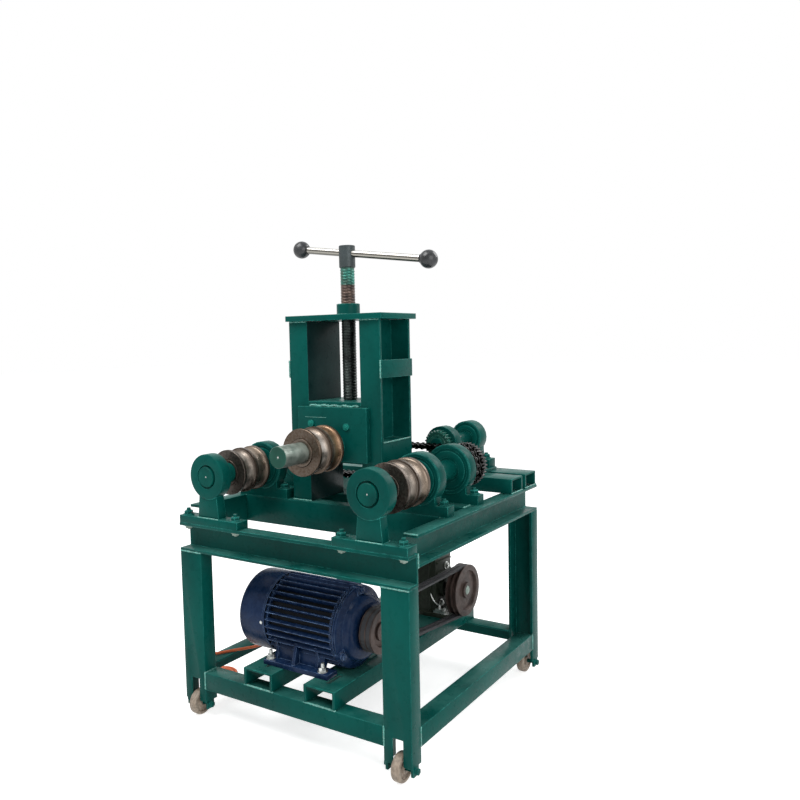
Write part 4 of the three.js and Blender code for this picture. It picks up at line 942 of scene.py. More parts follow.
line = {"x": 268, "z": 693, "shaftRadius": 28, "shaftFront": -387, "rightEnd": 138.2, "leftEnd": 109,
        "drilled": 2.4,
        "blockFaces": {"Front": -157, "Rear": 15}, "blockOuter": 70.5, "blockInner": 34, "blockProud": 3,
        "boltReach": 72, "boltRows": (-140, 32.5), "boltZ": 627.5,
        "footReach": 90, "footY": -368.5, "footTop": 577.5, "nutZ": 546.5, "seamHalf": 38,
        "seams": (-383.6, -352)}


def shaftProfile(front, rear, radius, drill=4.5):
    return [(front + 3.5, 0), (front, drill), (front, radius - 1.5), (front + 1.5, radius),
            (rear - 1.5, radius),
            (rear, radius - 1.5), (rear, 0)]


def drillPoint(name, body, x, z, y):
    profile = [(y, 0), (y - 0.6, 2.6), (y + 0.4, 3), (y + 0.4, 0)]
    turnedPiece(name, body, brightZinc, "y", (x, z), [profile], 20)


def facing(name, x, z, y, outer, inner, proud):  # rim and inner disc, a groove between them
    disc = inner + (outer - inner) * 0.52
    groove = disc + 4.5
    turnedPiece(name, "stand", greenPaint, "y", (x, z), [
        [(y + 2, inner), (y - proud * 0.6, inner), (y - proud * 0.6, disc - 1), (y + 2, disc)],
        [(y + 2, groove), (y - proud, groove + 1.5), (y - proud, outer - 3), (y - proud * 0.5, outer - 1),
         (y + 2, outer)],
    ], 72, bevel=0.4)


grooved = {"start": -299, "length": 106, "radius": 64, "bore": 28.6, "dieBore": 29, "flange": 9,
           "grooveHalf": 21.5,
           "grooveDepth": 18, "land": 8, "arris": 1.2}


def groovedProfile(g, bore):
    start, end, rim, arris = g["start"], g["start"] + g["length"], g["radius"], g["arris"]
    first = start + g["flange"] + g["grooveHalf"]
    waistStart = first + g["grooveHalf"] + g["land"]
    waistHalf = (end - g["land"] - waistStart) / 2

    def hollow(centre, half, depth):
        steps = [math.pi * i / 20 for i in range(21)]
        return [(centre - half * math.cos(a), rim - depth * math.sin(a)) for a in steps]

    return ([(start, bore), (start, bore + 6), (start + 0.8, bore + 7), (start + 0.8, bore + 9),
             (start, bore + 10),
             (start, rim - arris), (start + arris, rim)]
            + hollow(first, g["grooveHalf"], g["grooveDepth"])
            + hollow(waistStart + waistHalf, waistHalf, g["grooveDepth"] / 2)
            + [(end - arris, rim), (end, rim - arris), (end, bore)])


def rollerPiece(name, body, node, x, z, bore, material):
    turnedPiece(name, body, material, "y", (x, z), [groovedProfile(grooved, bore)], 112, replaced=[node],
                smooth=36)


support = {"front": -383.5, "rear": -348.5, "footRear": -342, "ring": 62.6, "bore": 28.4, "recess": 33,
           "recessDeep": 8,
           "footFront": -385, "footHalf": 110, "footBottom": 555.8, "footTop": 577.5, "neckBottom": 39,
           "neckTop": 31,
           "neckInset": 3, "neckReach": 40, "round": 3, "roundTurns": (0.5, 1.0, math.pi / 2), "arris": 1.2}


def makeSupport(p, name, node, x, z):
    front, rear, ring, turns = p["front"], p["rear"], p["ring"], p["roundTurns"]
    inner, outer = front + p["recessDeep"], ring - p["round"]
    profile = [(inner, p["bore"]), (inner, p["recess"]), (front + 0.8, p["recess"]),
               (front, p["recess"] + 0.8), (front, outer)]
    profile += [(front + p["round"] * (1 - math.cos(a)), outer + p["round"] * math.sin(a)) for a in turns]
    profile += [(rear - p["round"] * (1 - math.cos(a)), outer + p["round"] * math.sin(a))
                for a in reversed(turns)]
    profile += [(rear, outer), (rear, p["bore"])]
    bm = bmesh.new()
    addTurned(bm, "y", profile, (x, z), 96)
    low, high = p["footTop"] - 1, z - p["neckReach"]
    neck = [(x - p["neckBottom"], low), (x + p["neckBottom"], low), (x + p["neckTop"], high),
            (x - p["neckTop"], high)]
    addPrism(bm, "y", neck, front + p["neckInset"], rear - p["neckInset"])
    addBox(bm, x - p["footHalf"], x + p["footHalf"], p["footFront"], p["footRear"], p["footBottom"],
           p["footTop"])
    makePiece(name, bm, "stand", greenPaint, [node], bevel=p["arris"])


def makeRollerLine(p, side, sign):
    x, z, body, suffix = sign * p["x"], p["z"], "roller_" + side, side.capitalize()
    makeSupport(support, "support" + suffix, "outboard_support_" + side, x, z)
    for end, y in p["blockFaces"].items():
        facing("blockFace" + end + suffix, x, z, y, p["blockOuter"], p["blockInner"], p["blockProud"])
    rollerPiece("lowerRoller" + suffix, body, "lower_roller_" + side, x, z, grooved["bore"],
                lowerRollerFinish)
    turnedPiece("rollerShaft" + suffix, body, shaftPaint, "y", (x, z),
                [shaftProfile(p["shaftFront"], p[side + "End"], p["shaftRadius"])],
                replaced=["roller_shaft_" + side])
    drillPoint("shaftCentre" + suffix, body, x, z, p["shaftFront"] + p["drilled"])
    pair = (x - p["boltReach"], x + p["boltReach"])
    feet = (x - p["footReach"], x + p["footReach"])
    boltsOn("blockBolts" + suffix, corners(pair, p["boltRows"], p["boltZ"]), "up", "block", greenPaint)
    boltsOn("supportBolts" + suffix, corners(feet, [p["footY"]], p["footTop"]), "up", "support", greenPaint)
    boltsOn("supportNuts" + suffix, corners(feet, [p["footY"]], p["nutZ"]), "down", "supportNut", shaftSteel)
    seams = [corners((x - p["seamHalf"], x + p["seamHalf"]), [y], p["footTop"] + 0.5) for y in p["seams"]]
    weldAlong("supportWeld" + suffix, "stand", seams, 1.8, 40)


for side, sign in (("left", -1), ("right", 1)):
    makeRollerLine(line, side, sign)
print("roller lines done")

# Double chain with its sprockets, the gear pair and the single chain

doubleChain = {"rows": (71.1, 93.9), "pitch": 19.05, "radius": 51.83, "teeth": 17, "toothWidth": 9.6,
               "bore": 28.2,
               "hub": (60.5, 104.5, 38), "links": (16.5, 2.2, 5.8,
                                                   11)}  # links: plate height, thickness, roller, width
singleChain = {"rows": (190,), "pitch": 15.875, "radius": 33.17, "teeth": 13, "toothWidth": 8,
               "hub": (180, 200, 22), "links": (13.8, 1.8, 5, 9.2), "low": (55, 392.9)}


def addSprocket(bm, p, x, z, bore):
    rise, foot = p["pitch"] * 0.16, p["pitch"] * 0.33
    tooth = mirrored([(-6.2, -foot), (-2.5, -foot * 0.72), (rise * 0.3, -foot * 0.42), (rise, -foot * 0.14)])
    for middle in p["rows"]:
        half = p["toothWidth"] / 2
        addTurned(bm, "y", tube(middle - half, middle + half, bore, p["radius"] - 5.5), (x, z), 68)
        ringOf(bm, tooth, p["toothWidth"] * 0.92, p["teeth"], p["radius"], standAlong("y", x, middle, z),
               oiledSteel)
    start, end, hub = p["hub"]
    addTurned(bm, "y", [(start, bore), (start, hub - 2), (start + 2, hub), (end - 2, hub), (end, hub - 2),
                        (end, bore)],
              (x, z), 56)


def makeChain(name, node, p, first, second, steps=26):  # a closed loop of links round two equal circles
    heading = math.atan2(second[1] - first[1], second[0] - first[0])
    run = 2 * math.dist(first, second) + 2 * math.pi * p["radius"]
    links = 2 * round(run / p["pitch"] / 2)
    height, thickness, roller, width = p["links"]
    bm = bmesh.new()
    for y in p["rows"]:
        points = []
        for centre, base in ((second, heading - math.pi / 2), (first, heading + math.pi / 2)):
            points += circle("y", y, centre, p["radius"],
                             [base + math.pi * i / steps for i in range(steps + 1)])
        edges = [(i, (i + 1) % len(points)) for i in range(len(points))]
        addMesh(bm, growMesh("chain", pointMesh(points, edges), links, run / links, height, thickness,
                             roller, width,
                             oiledSteel))
    makePiece(name, bm, "stand", oiledSteel, [node], smooth=30)


makeChain("rollerChain", "roller_chain", doubleChain, (-line["x"], line["z"]), (line["x"], line["z"]))
for side, sign, replaced in (("right", 1, ["chain_sprocket_right"]), ("left", -1, [])):
    bm = bmesh.new()
    addSprocket(bm, doubleChain, sign * line["x"], line["z"], doubleChain["bore"])
    makePiece("chainSprocket" + side.capitalize(), bm, "roller_" + side, oiledSteel, replaced)

gears = {"start": 115, "end": 137, "depth": 5.5, "driven": (63, 36, 28.2, 41), "pinion": (42, 24, 19, 27)}
pinion = {"x": 176.83, "z": 746.3, "shaft": 19.5, "from": 111, "to": 348.6, "drill": 3, "bore": 19,
          "face": (302, 51, 25, 2.5), "boltReach": 60, "boltRows": (157.5, 323.5), "boltZ": 681.3}


def addGear(bm, p, x, z, tip, teeth, bore, hub):
    start, end, depth, root = p["start"], p["end"], p["depth"], tip - p["depth"]
    half = [(start, bore), (start, hub), (start + 3, hub + 2), (start + 3, root - 6), (start, root - 4),
            (start, root)]
    addTurned(bm, "y", half + [(start + end - y, r) for y, r in reversed(half)], (x, z), 72)
    step = 2 * math.pi * root / teeth
    tooth = mirrored([(-1.5, -step * 0.34), (0, -step * 0.32), (2.6, -step * 0.23),
                      (depth - 0.3, -step * 0.13),
                      (depth, -step * 0.09)])
    ringOf(bm, tooth, end - start, teeth, root, standAlong("y", x, (start + end) / 2, z), oiledSteel)


def makeDrive(p):
    x, z = p["x"], p["z"]
    bm = bmesh.new()
    addGear(bm, gears, line["x"], line["z"], *gears["driven"])
    makePiece("driveGear", bm, "roller_right", oiledSteel, ["drive_gear"])
    bm = bmesh.new()
    addGear(bm, gears, x, z, *gears["pinion"])
    addSprocket(bm, singleChain, x, z, p["bore"])
    makePiece("pinionGear", bm, "pinion", gearPaint)
    turnedPiece("pinionShaft", "pinion", shaftPaint, "y", (x, z),
                [shaftProfile(p["from"], p["to"], p["shaft"], p["drill"])],
                48, replaced=["pinion_shaft"])
    facing("pinionFaceRear", x, z, *p["face"])
    pair = (x - p["boltReach"], x + p["boltReach"])
    boltsOn("pinionBolts", corners(pair, p["boltRows"], p["boltZ"]), "up", "pinion", greenPaint)
    makeChain("driveChain", "drive_chain", singleChain, singleChain["low"], (x, z))


makeDrive(pinion)
print("chains and gears done")

# Tower, slide and upper die

roundedCopy("tower_column_left", towerPaint, 1.4)
roundedCopy("tower_column_right", towerPaint, 1.4)

towerWelds = {
    "bead": 2.4,
    "seed": 70,
    "lines": [
        [(-155, -148.5, 601), (-92, -148.5, 601)], [(92, -148.5, 601), (155, -148.5, 601)],
        [(-155, 8.5, 601), (-92, 8.5, 601)], [(92, 8.5, 601), (155, 8.5, 601)],
        [(-152, -148.5, 1114), (-95, -148.5, 1114)], [(95, -148.5, 1114), (152, -148.5, 1114)],
        [(157, -148.5, 957), (157, -148.5, 1003)], [(157, 8.5, 957), (157, 8.5, 1003)],
        [(-157, -148.5, 957), (-157, -148.5, 1003)], [(156, -138, 780.5), (156, -2, 780.5)],
        circle("z", 1131.8, (0, -70), 34.2, [math.pi * i / 18 for i in range(37)]),
    ],
}
weldAlong("towerWelds", "stand", towerWelds["lines"], towerWelds["bead"], towerWelds["seed"])
slideSeam = [(-82 + i * 9, -150 - (i % 2) * 1.6, 876 + (i * 7 % 4) * 0.9) for i in range(19)]
weldAlong("slideWeld", "slide", [slideSeam], 4.2, 90)
slide = {"screws": [(-71, -163.2, 828), (51, -163.2, 822)],
         "scribed": (-92, -18, -163.75, -162.35, 844.8, 846),
         "keeperX": 101, "keeperY": 23.35, "keeperRows": (862, 738)}
boltsOn("plateScrews", slide["screws"], "front", "plateScrew", screwPaint, "slide")
bm = bmesh.new()
addBox(bm, *slide["scribed"])
makePiece("plateScribeLine", bm, "slide", weldPaintHighlighted, bevel=0.2)
keepers = [(x, slide["keeperY"], z) for z in slide["keeperRows"]
           for x in (-slide["keeperX"], slide["keeperX"])]
boltsOn("keeperScrews", keepers, "rear", "keeper", greenPaint, "slide")

die = {"z": 765, "shaft": (-393, -18, 28.5, 5), "drilled": -390.6,
       "collar": [(-301.5, 28.6), (-301.5, 37), (-299.2, 38), (-299.2, 28.6)]}
rollerPiece("upperDie", "die", "upper_die", 0, die["z"], grooved["dieBore"], dieFinish)
turnedPiece("dieShaft", "die", dieShaftFinish, "y", (0, die["z"]), [shaftProfile(*die["shaft"])],
            replaced=["die_shaft"])
drillPoint("dieShaftCentre", "die", 0, die["z"], die["drilled"])
turnedPiece("dieCollar", "die", dieFinish, "y", (0, die["z"]), [die["collar"]], 56, bevel=0.3)
print("tower and die done")

# Lead screw, tommy bar and knobs

screw = {"y": -70, "bottom": 889.4, "headBottom": 1264, "headTop": 1326, "head": 23, "core": 19.1,
         "ridge": 1.8, "pitch": 8,
         "threadInset": 5, "neck": 17, "collar": [(839, 0), (839, 27.5), (840, 28), (850, 28), (851.3, 27)],
         "nutRim": [(1160, 22), (1162.6, 22.4), (1162.9, 24), (1162.6, 31), (1161, 33.2), (1159, 33)]}
bar = {"centreZ": 1305, "radius": 10, "tilt": 7.7, "from": -175.5, "to": 279.5, "knob": 25,
       "knobAt": {"left": -164.5, "right": 268.5}, "neck": 12.6}


def makeScrew(p):
    centre, core, bottom, top = (0, p["y"]), p["core"], p["bottom"], p["headBottom"]
    length = top - bottom - p["threadInset"] - 4
    bm = bmesh.new()
    profile = p["collar"] + [(p["collar"][-1][0], p["neck"]), (bottom, p["neck"]),
                             (bottom + 1.5, core + 0.6),
                             (top, core + 0.6), (top + 2, core - 4), (top + 2, 0)]
    addTurned(bm, "z", profile, centre, 48)
    thread = growMesh("thread", pointMesh([(0, 0, 0)]), length / p["pitch"], core + 0.1, length, p["ridge"],
                      screwFinish)
    addMesh(bm, thread, Matrix.Translation((0, p["y"], bottom + p["threadInset"])))
    makePiece("leadScrew", bm, "screw", screwFinish, ["lead_screw"], smooth=50)
    start, end, head = top - 0.5, p["headTop"], p["head"]
    profile = [(start, 0), (start, head - 2), (start + 2.5, head), (end - 1.5, head), (end, head - 1.5),
               (end, 0)]
    turnedPiece("screwHead", "screw", headSteel, "z", centre, [profile])
    turnedPiece("nutRim", "stand", greenPaint, "z", centre, [p["nutRim"]], 56)


def makeBar(p):
    slope = Matrix.Translation((0, screw["y"], p["centreZ"])) @ Matrix.Rotation(math.radians(p["tilt"]), 4,
                                                                                "Y")
    r, neck = p["knob"], p["neck"]
    shapes = [("tommyBar", barChromeWithPaintedReflection, "tommy_bar", 40, tube(p["from"], p["to"], 0, p["radius"]))]
    for side, at in p["knobAt"].items():
        inwards = math.copysign(1, -at)  # a ball with a short neck towards the middle of the bar
        ball = [(at - inwards * r * math.cos(math.pi * i / 28), r * math.sin(math.pi * i / 28))
                for i in range(25)]
        ball += [(at + inwards * (r - 1.5), neck), (at + inwards * (r - 0.2), neck - 0.4),
                 (at + inwards * (r - 0.2), 0)]
        shapes.append(("knob" + side.capitalize(), knobBlack, "knob_" + side, 56, ball))
    for name, material, node, steps, profile in shapes:
        bm = bmesh.new()
        addTurned(bm, "x", profile, steps=steps)
        bmesh.ops.transform(bm, matrix=slope, verts=bm.verts)
        makePiece(name, bm, "bar", material, [node], smooth=40)


makeScrew(screw)
makeBar(bar)
print("screw and bar done")

# Motor

motor = {"y": -223, "z": 293.9, "rear": -120, "front": 108, "core": 97, "fin": 111, "fins": 34,
         "finFoot": 9.6,
         "finTip": 3.2, "frame": 112, "stud": 101, "studRows": (-106, 72.5),
         "endRing": [(-3, 90), (-3, 104), (5, 106), (5, 90)],
         "foot": (-120, 99, 73, 117), "web": [(76, 12), (90, 12), (83, 56), (62, 42)], "webRun": (-98, 66),
         "ribs": ((-98, 96), (-26, 112), (40, 96)), "ribWidth": 10}
motorAt = (motor["y"], motor["z"])


def makeMotor(m):
    turnedPiece("motorCore", "stand", motorShade, "x", motorAt, [tube(m["rear"], m["front"], 0, m["core"])],
                92)
    bm = bmesh.new()
    for x in (m["rear"] + 3, m["front"] - 8):
        addTurned(bm, "x", [(x + offset, r) for offset, r in m["endRing"]], motorAt, 92)
    reach, foot, tip = m["fin"] - m["core"], m["finFoot"] / 2, m["finTip"] / 2
    fin = mirrored([(-3, -foot), (reach - 1, -tip), (reach, -tip / 2)])
    middle = standAlong("x", (m["rear"] + m["front"]) / 2, *motorAt)
    ringOf(bm, fin, m["front"] - m["rear"] - 5, m["fins"], m["core"], middle, motorPaint)
    makePiece("motorBody", bm, "stand", motorPaint, ["motor_body"], smooth=30)
    rail = m["z"] - m["frame"]
    x0, x1, inner, outer = m["foot"]
    bm = bmesh.new()
    for side in (-1, 1):
        near, far = sorted((m["y"] + side * inner, m["y"] + side * outer))
        addBox(bm, x0, x1, near, far, rail + 0.4, rail + 14)
        addPrism(bm, "x", [(m["y"] + side * u, rail + v) for u, v in m["web"]], *m["webRun"])
        for x, reach in m["ribs"]:
            rib = [(84, 12), (reach, 12), (reach - 8, 40), (96, 70), (76, 62)]
            addPrism(bm, "x", [(m["y"] + side * u, rail + v) for u, v in rib], x, x + m["ribWidth"])
    makePiece("motorFeet", bm, "stand", motorPaint, bevel=1.6)
    studs = corners(m["studRows"], (m["y"] - m["stud"], m["y"] + m["stud"]), rail + 14)
    boltsOn("motorStuds", studs, "up", "motorStud", brightZinc)


makeMotor(motor)

shield = {
    "from": 108.3,
    "profile": [  # distance from the body, radius
        (0, 14.8), (0, 107.8), (1.5, 109.8), (5, 109.8), (6, 106.3), (8, 106.3), (9, 108.8), (12, 108.8),
        (15, 102.8), (17, 97.8), (21, 89.5), (28, 88), (32.7, 86.5), (37.7, 81), (41.7, 75), (43.7, 66),
        (43.7, 47), (42.3, 46), (42.3, 38), (43.7, 36.4), (48.7, 36), (49.7, 34.5), (49.7, 14.8),
    ],
    "lug": [(-18, -15), (4, -12), (10, -8), (12, 0), (10, 8), (4, 12), (-18, 15)],
    "lugs": 3, "lugTurn": 60, "lugRadius": 100, "lugWidth": 22, "lugMiddle": 10,
    "boltRadius": 102, "boltTurns": (90, 210, 330), "boltSeat": 21,
}


def makeShield(p):
    bm = bmesh.new()
    addTurned(bm, "x", [(p["from"] + offset, r) for offset, r in p["profile"]], motorAt, 88)
    turn = standAlong("x", p["from"] + p["lugMiddle"],
                      *motorAt) @ Matrix.Rotation(math.radians(p["lugTurn"]), 4, "Z")
    ringOf(bm, p["lug"], p["lugWidth"], p["lugs"], p["lugRadius"], turn, motorPaint)
    makePiece("endShield", bm, "stand", motorPaint, ["end_shield"], bevel=0.5)
    places = circle("x", p["from"] + p["boltSeat"], motorAt, p["boltRadius"],
                    map(math.radians, p["boltTurns"]))
    boltsOn("shieldBolts", places, "right", "shield", motorPaint)


makeShield(shield)

fanCover = {"rear": -215.3, "front": -120.3, "radius": 111, "hub": 30, "open": 90, "round": 12, "wall": 3,
            "roundTurns": (math.pi / 2, 1.25, 0.9, 0.55, 0.25, 0), "groove": (-128, -127, -125, -124),
            "grooveDeep": 0.8,
            "spokes": 24, "spoke": [(-34, -1.6), (34, -1.6)], "spokeMiddle": 61, "rings": (42, 54, 66, 78),
            "screwX": -130}


def makeFanCover(p):
    rear, front, r, bend = p["rear"], p["front"], p["radius"], p["round"]
    profile = [(rear, p["open"])] + [(rear + bend * (1 - math.sin(a)), r - bend * (1 - math.cos(a)))
                                     for a in p["roundTurns"]]
    profile += [(x, r - depth) for x, depth in zip(p["groove"], (0, p["grooveDeep"], p["grooveDeep"], 0))]
    profile += [(front, r), (front, r - p["wall"]), (rear + bend, r - p["wall"]), (rear + 3.5, r - 9),
                (rear + 2.2, p["open"])]
    bm = bmesh.new()
    addTurned(bm, "x", profile, motorAt, 96)
    addTurned(bm, "x", tube(rear + 0.2, rear + 2.2, 0, p["hub"]), motorAt, 48)
    turn = standAlong("x", rear + 1.3, *motorAt)
    ringOf(bm, mirrored(p["spoke"]), 2, p["spokes"], p["spokeMiddle"], turn, motorPaint)
    for radius in p["rings"]:
        addTurned(bm, "x", tube(rear + 0.3, rear + 2.1, radius - 1.5, radius + 1.5), motorAt, 72)
    makePiece("fanCover", bm, "stand", motorPaint, ["fan_cover"], bevel=0.3, smooth=40)
    boltsOn("coverScrew", [(p["screwX"], motorAt[0] - r, motorAt[1])], "front", "cover", brightZinc)


makeFanCover(fanCover)

terminal = {"x": (-86, 6), "y": (-134, -66), "half": 39, "lid": 9, "inset": 3, "screwInset": 8, "arris": 2.2}


def makeTerminal(p):
    (x0, x1), (y0, y1), inset = p["x"], p["y"], p["inset"]
    z0, z1, lid = motor["z"] - p["half"], motor["z"] + p["half"], y1 - p["lid"]
    bm = bmesh.new()
    addBox(bm, x0, x1, y0, lid, z0, z1)
    addBox(bm, x0 + inset, x1 - inset, lid - 1, lid + 1.5, z0 + inset, z1 - inset)
    addBox(bm, x0, x1, lid + 1.2, y1, z0, z1)
    makePiece("terminalBox", bm, "stand", motorPaint, bevel=p["arris"])
    gap = p["screwInset"]
    screws = [(x, y1, z) for x in (x0 + gap, x1 - gap) for z in (z0 + gap, z1 - gap)]
    boltsOn("lidScrews", screws, "rear", "lid", brightZinc)


makeTerminal(terminal)

gland = {"body": [(0, 4.4), (0, 8), (6, 10), (11, 11.4), (12, 13), (22.5, 13), (22.5, 4.4)], "rings": 3,
         "step": 3}


def makeGland(p):
    gx, gy, gz = cable["gland"]
    profiles = [[(gx + offset, r) for offset, r in p["body"]]]
    for i in range(p["rings"]):
        x, r = gx + 2 + i * p["step"], 9.3 + i * 0.7
        profiles.append([(x, 6), (x, r), (x + 1.4, r + 0.3), (x + 1.4, 6)])
    turnedPiece("cableGland", "stand", knobBlack, "x", (gy, gz), profiles, 40, bevel=0.3)


makeGland(gland)
print("motor done")

# Belt pulleys and the two V-belts

gearbox = {"x": 55, "y": 262, "z": 181.9, "halfX": 55, "halfY": 50, "height": 254, "wormZ": 267.9,
           "outputZ": 392.9,
           "capProud": 15}
beltDrive = {"rows": (170.5, 186.5), "start": 160, "end": 197, "motorRadius": 59, "wormRadius": 80,
             "hub": 24,
             "wormAt": (262, gearbox["wormZ"]), "grooveDeep": 10.2,
             "section": [(-5.7, 0), (5.7, 0), (6.3, -0.6), (4.3, -7.4)],
             "wormShaft": tube(24.7, 162, 0, 14), "motorShaft": tube(-185, 162, 0, 14),
             "fanHub": [(-185.3, 0), (-185.3, 30), (-165.5, 30), (-165.5, 91), (-160.4, 91.5), (-160.4, 0)],
             "blade": [(-31, -1.5), (30, -1.5)], "blades": 7, "bladeMiddle": (-175, 60), "bladeWidth": 21,
             "key": (188, 196.6, 3, 12, 16.5),
             "wormEnd": [(195.4, 0), (195.4, 12.4), (196.6, 13.4), (196.9, 12.6), (196.2, 3.4), (195.4, 0)]}


def pulleyProfile(p, radius, webbed):
    start, end, hub = p["start"], p["end"], p["hub"]
    floor = radius - p["grooveDeep"]
    rim = floor - 8
    profile = [(start, 0)]
    if webbed:
        profile += [(start, rim - 4), (start + 5, rim - 4.5), (start + 5, rim + 1), (start, rim + 2)]
    profile += [(start, radius - 0.8), (start + 0.8, radius)]
    for x in p["rows"]:
        profile += [(x - 6.6, radius), (x - 4.2, floor + 1), (x - 3.4, floor), (x + 3.4, floor),
                    (x + 4.2, floor + 1),
                    (x + 6.6, radius)]
    profile += [(end - 0.8, radius), (end, radius - 0.8), (end, rim + 1.2), (end - 1.5, rim),
                (end - 7, rim - 1.5),
                (end - 8, rim - 3)]
    if webbed:
        profile += [(end - 7.4, (rim + hub) / 2), (end - 8, hub + 3)]
    return profile + [(end - 7, hub + 1), (end - 1, hub), (end, hub - 1), (end, 15.5), (end - 1.5, 14.2),
                      (end - 1.5, 3),
                      (end - 3.5, 0)]


def makePulley(name, p, radius, at, body, webbed, extra, replaced):
    bm = bmesh.new()
    addTurned(bm, "x", pulleyProfile(p, radius, webbed), at, 96)
    for shape in extra:
        addTurned(bm, "x", shape, at, 48)
    makePiece(name, bm, body, pulleyIron, replaced, smooth=34)


def makeBelt(name, node, p, x, steps=40):
    places = ((motorAt, p["motorRadius"] - 0.4), (p["wormAt"], p["wormRadius"] - 0.4))
    (first, small), (second, large) = places
    du, dv = second[0] - first[0], second[1] - first[1]
    heading = math.atan2(dv, du)
    half = math.acos((small - large) / math.hypot(du, dv))
    section = p["section"] + [(-u, v) for u, v in reversed(p["section"][2:])]
    bm = bmesh.new()
    rings = []
    for centre, radius, start, end in (
        (second, large, heading - half, heading + half),
        (first, small, heading + half, heading + 2 * math.pi - half),
    ):
        for i in range(steps + 1):
            a = start + (end - start) * i / steps
            rings.append([bm.verts.new(circle("x", x + u, centre, radius + v, [a])[0]) for u, v in section])
    joinRings(bm, rings, True)
    makePiece(name, bm, "stand", beltRubber, [node], smooth=30)


def makeKey(name, body, at, material, p):
    x0, x1, half, low, high = p["key"]
    bm = bmesh.new()
    addBox(bm, x0, x1, at[0] - half, at[0] + half, at[1] + low, at[1] + high)
    if body == "worm":
        addTurned(bm, "x", p["wormEnd"], at, 40)
    makePiece(name, bm, body, material, bevel=0.3)


def makeBeltDrive(p):
    makePulley("gearboxPulley", p, p["wormRadius"], p["wormAt"], "worm", True, [p["wormShaft"]],
               ["gearbox_pulley"])
    shapes = [p["motorShaft"], p["fanHub"]]
    makePulley("motorPulley", p, p["motorRadius"], motorAt, "rotor", False, shapes, ["motor_pulley"])
    bm = bmesh.new()
    x, radius = p["bladeMiddle"]
    ringOf(bm, mirrored(p["blade"]), p["bladeWidth"], p["blades"], radius, standAlong("x", x, *motorAt),
           pulleyIron)
    makePiece("fanBlades", bm, "rotor", knobBlack, bevel=0.4)
    makeKey("wormKey", "worm", p["wormAt"], shaftSteel, p)
    makeKey("motorKey", "rotor", motorAt, pulleyIron, p)
    for name, node, x in zip(("vBeltInner", "vBeltOuter"), ("v_belt_inner", "v_belt_outer"), p["rows"]):
        makeBelt(name, node, p, x)


makeBeltDrive(beltDrive)
print("belts done")

# Worm gearbox

roundedCopy("gearbox_housing", gearboxPaint, 2.4)
gearboxLook = {"flangeX": (-5, 55, 115), "flangeY": (218, 306), "baseX": (-100, 138),
               "ribRows": (30, 132, 168),
               "ribReach": 5, "ribHalf": 44, "ribHeight": 7, "post": 34, "postRun": (16, 168),
               "capRadius": 26, "capTurns": (45, 135, 225, 315), "outputRadius": 31,
               "outputTurns": range(30, 390, 60),
               "outputProud": 6, "plugs": ((18, 150), (-20, 38)), "output": (176, 285.3, 19, 3),
               "outputBore": 18}


def gearboxDetails(g, look):
    top, wall = g["z"] + g["height"], g["halfX"] + g["capProud"]
    boltsOn("flangeBolts", corners(look["flangeX"], look["flangeY"], top), "down", "flange", oiledSteel)
    boltsOn("baseBolts", corners(look["baseX"], look["flangeY"], g["z"] + 14), "up", "base", brightZinc)
    bm = bmesh.new()
    for z in look["ribRows"]:  # stiffening ribs on the two side walls
        for side in (-1, 1):
            x0, x1 = sorted((g["x"] + side * (g["halfX"] - 2),
                             g["x"] + side * (g["halfX"] + look["ribReach"])))
            addBox(bm, x0, x1, g["y"] - look["ribHalf"], g["y"] + look["ribHalf"], g["z"] + z,
                   g["z"] + z + look["ribHeight"])
    for side in (-1, 1):
        x = g["x"] + side * look["post"]
        addBox(bm, x - 3.5, x + 3.5, g["y"] - 55, g["y"] - 48, *(g["z"] + z for z in look["postRun"]))
    makePiece("gearboxRibs", bm, "stand", gearboxPaint, bevel=1.4)
    turns = [math.radians(a) for a in look["capTurns"]]
    for name, heading, x in (("wormCapBolts", "right", g["x"] + wall),
                             ("wormCapBoltsRear", "left", g["x"] - wall)):
        places = circle("x", x, (g["y"], g["wormZ"]), look["capRadius"], turns)
        boltsOn(name, places, heading, "wormCap", oiledSteel)
    turns = [math.radians(a) for a in look["outputTurns"]]
    places = circle("y", g["y"] - g["halfY"] - look["outputProud"], (g["x"], g["outputZ"]),
                    look["outputRadius"], turns)
    boltsOn("outputCapBolts", places, "front", "outputCap", oiledSteel)
    plugs = [(g["x"] + g["halfX"], g["y"] + y, g["z"] + z) for y, z in look["plugs"]]
    boltsOn("oilPlugs", plugs, "right", "oilPlug", brightZinc)
    bm = bmesh.new()
    addTurned(bm, "y", shaftProfile(*look["output"]), (g["x"], g["outputZ"]), 48)
    addSprocket(bm, singleChain, g["x"], g["outputZ"], look["outputBore"])
    makePiece("outputShaft", bm, "output", oiledSteel, ["gearbox_output_shaft"])


gearboxDetails(gearbox, gearboxLook)

# Bright clamp with its lever on the gearbox foot

lever = {"at": (128, 196, 196), "foot": (-26, 14, 12, 30, 0.2, 7), "jaw": (-20, 2, 14, 28, 6, 13),
         "post": (-8, 21, 12, 26, 5),
         "handleSteps": 8, "handleRadius": 3}


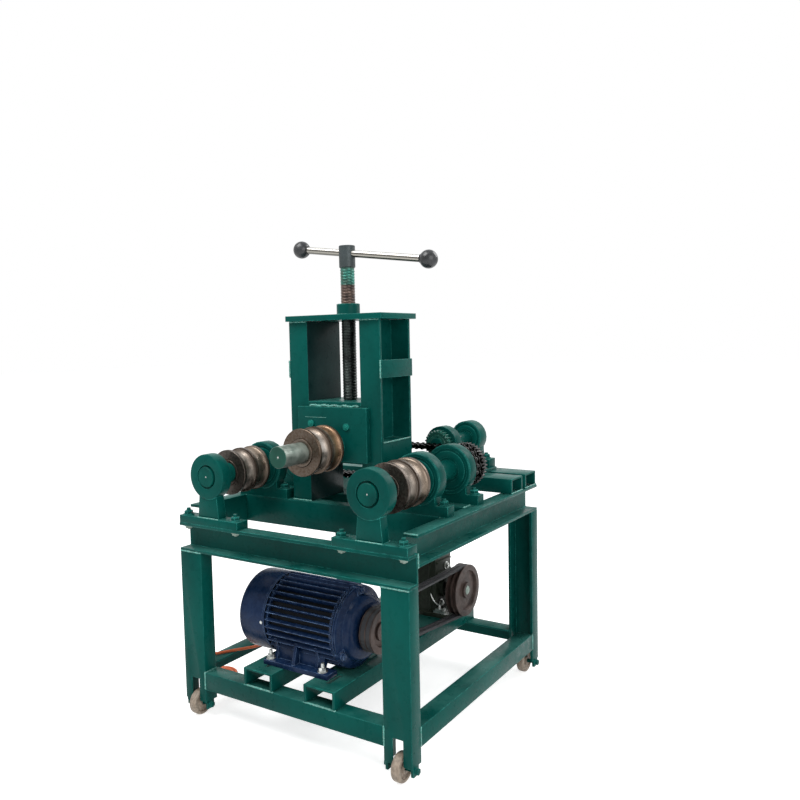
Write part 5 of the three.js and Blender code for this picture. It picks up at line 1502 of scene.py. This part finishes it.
def makeLever(p):
    x, y, z = p["at"]
    bm = bmesh.new()
    for x0, x1, y0, y1, z0, z1 in (p["foot"], p["jaw"]):
        addBox(bm, x + x0, x + x1, y + y0, y + y1, z + z0, z + z1)
    px, py, low, high, radius = p["post"]
    addTurned(bm, "z", tube(z + low, z + high, 0, radius), (x + px, y + py), 24)
    handle = [Vector((x + px - i * 4.4, y + py - i * 0.8, z + 24 + i * i * 0.75))
              for i in range(p["handleSteps"])]
    for first, second in zip(handle, handle[1:]):
        step = second - first
        turn = Matrix.Translation((first + second) / 2) @ step.to_track_quat("Z", "Y").to_matrix().to_4x4()
        bmesh.ops.create_cone(bm, cap_ends=True, segments=14, radius1=p["handleRadius"],
                              radius2=p["handleRadius"],
                              depth=step.length * 1.15, matrix=turn)
    makePiece("gearboxLever", bm, "stand", brightZinc)


makeLever(lever)
print("gearbox done")

# Floor, light and surroundings

studio = {
    "floorHalf": 30,  # metres
    "floorTones": ("f6f6f5", "f9f9f8"), "floorGlow": 0.68, "sky": 0.35,
    "lamps": {  # power in watts, size, place and target in metres
        "keyLight": (108, 2.2, (-0.9, -1.7, 3.9), (0, 0, 0.6)),
        "fillLight": (55, 2.6, (3.0, -1.6, 1.8), (0, 0, 0.5)),
        "rimLight": (60, 2.0, (1.5, 2.6, 3.0), (0, 0, 0.6)),
    },
}


def seenRays(tree):  # white for the camera and in what metal and glass show
    rays = put(tree, "ShaderNodeLightPath").outputs
    return total(tree, rays["Is Camera Ray"], rays["Is Glossy Ray"], rays["Is Transmission Ray"])


def makeFloor(look):
    half = look["floorHalf"]
    mesh = bpy.data.meshes.new("floor")
    mesh.from_pydata([(-half, -half, 0), (half, -half, 0), (half, half, 0), (-half, half, 0)], [],
                     [(0, 1, 2, 3)])
    addObject("floor", mesh)
    material, tree = startMaterial("paleFloor")
    shader = tree.nodes["Principled BSDF"]
    tree.links.new(blend(tree, grain(tree, 3), *look["floorTones"]), shader.inputs["Base Color"])
    tree.links.new(times(tree, seenRays(tree), look["floorGlow"]), shader.inputs["Emission Strength"])
    for socket, value in (("Roughness", 0.9), ("Specular IOR Level", 0.1), ("Emission Color", (1, 1, 1, 1))):
        shader.inputs[socket].default_value = value
    mesh.materials.append(material)


def makeLights(look):
    world = bpy.data.worlds.new("studio")
    bpy.context.scene.world = world
    world.use_nodes = True
    tree = world.node_tree
    seen = put(tree, "ShaderNodeBackground", {"Color": (1, 1, 1, 1), "Strength": 1.0}).outputs[0]
    lit = tree.nodes["Background"]
    lit.inputs["Color"].default_value = (0.96, 0.98, 1, 1)
    lit.inputs["Strength"].default_value = look["sky"]
    chosen = sums(tree, "MINIMUM", seenRays(tree), 1.0)
    mixed = put(tree, "ShaderNodeMixShader", {0: chosen, 1: lit.outputs[0], 2: seen}).outputs[0]
    tree.links.new(mixed, tree.nodes["World Output"].inputs[0])
    for name, (power, size, place, target) in look["lamps"].items():
        data = bpy.data.lights.new(name, "AREA")
        data.energy = power
        data.size = size
        back = Vector(place) - Vector(target)
        lamp = addObject(name, data)
        lamp.matrix_world = Matrix.Translation(Vector(place)) @ back.to_track_quat("Z",
                                                                                   "Y").to_matrix().to_4x4()


makeFloor(studio)
makeLights(studio)
bpy.context.scene.view_settings.view_transform = "Standard"
print("studio done")
print("nodes still shown:", [node for node, shape in nodes.items() if not shape.hide_render])
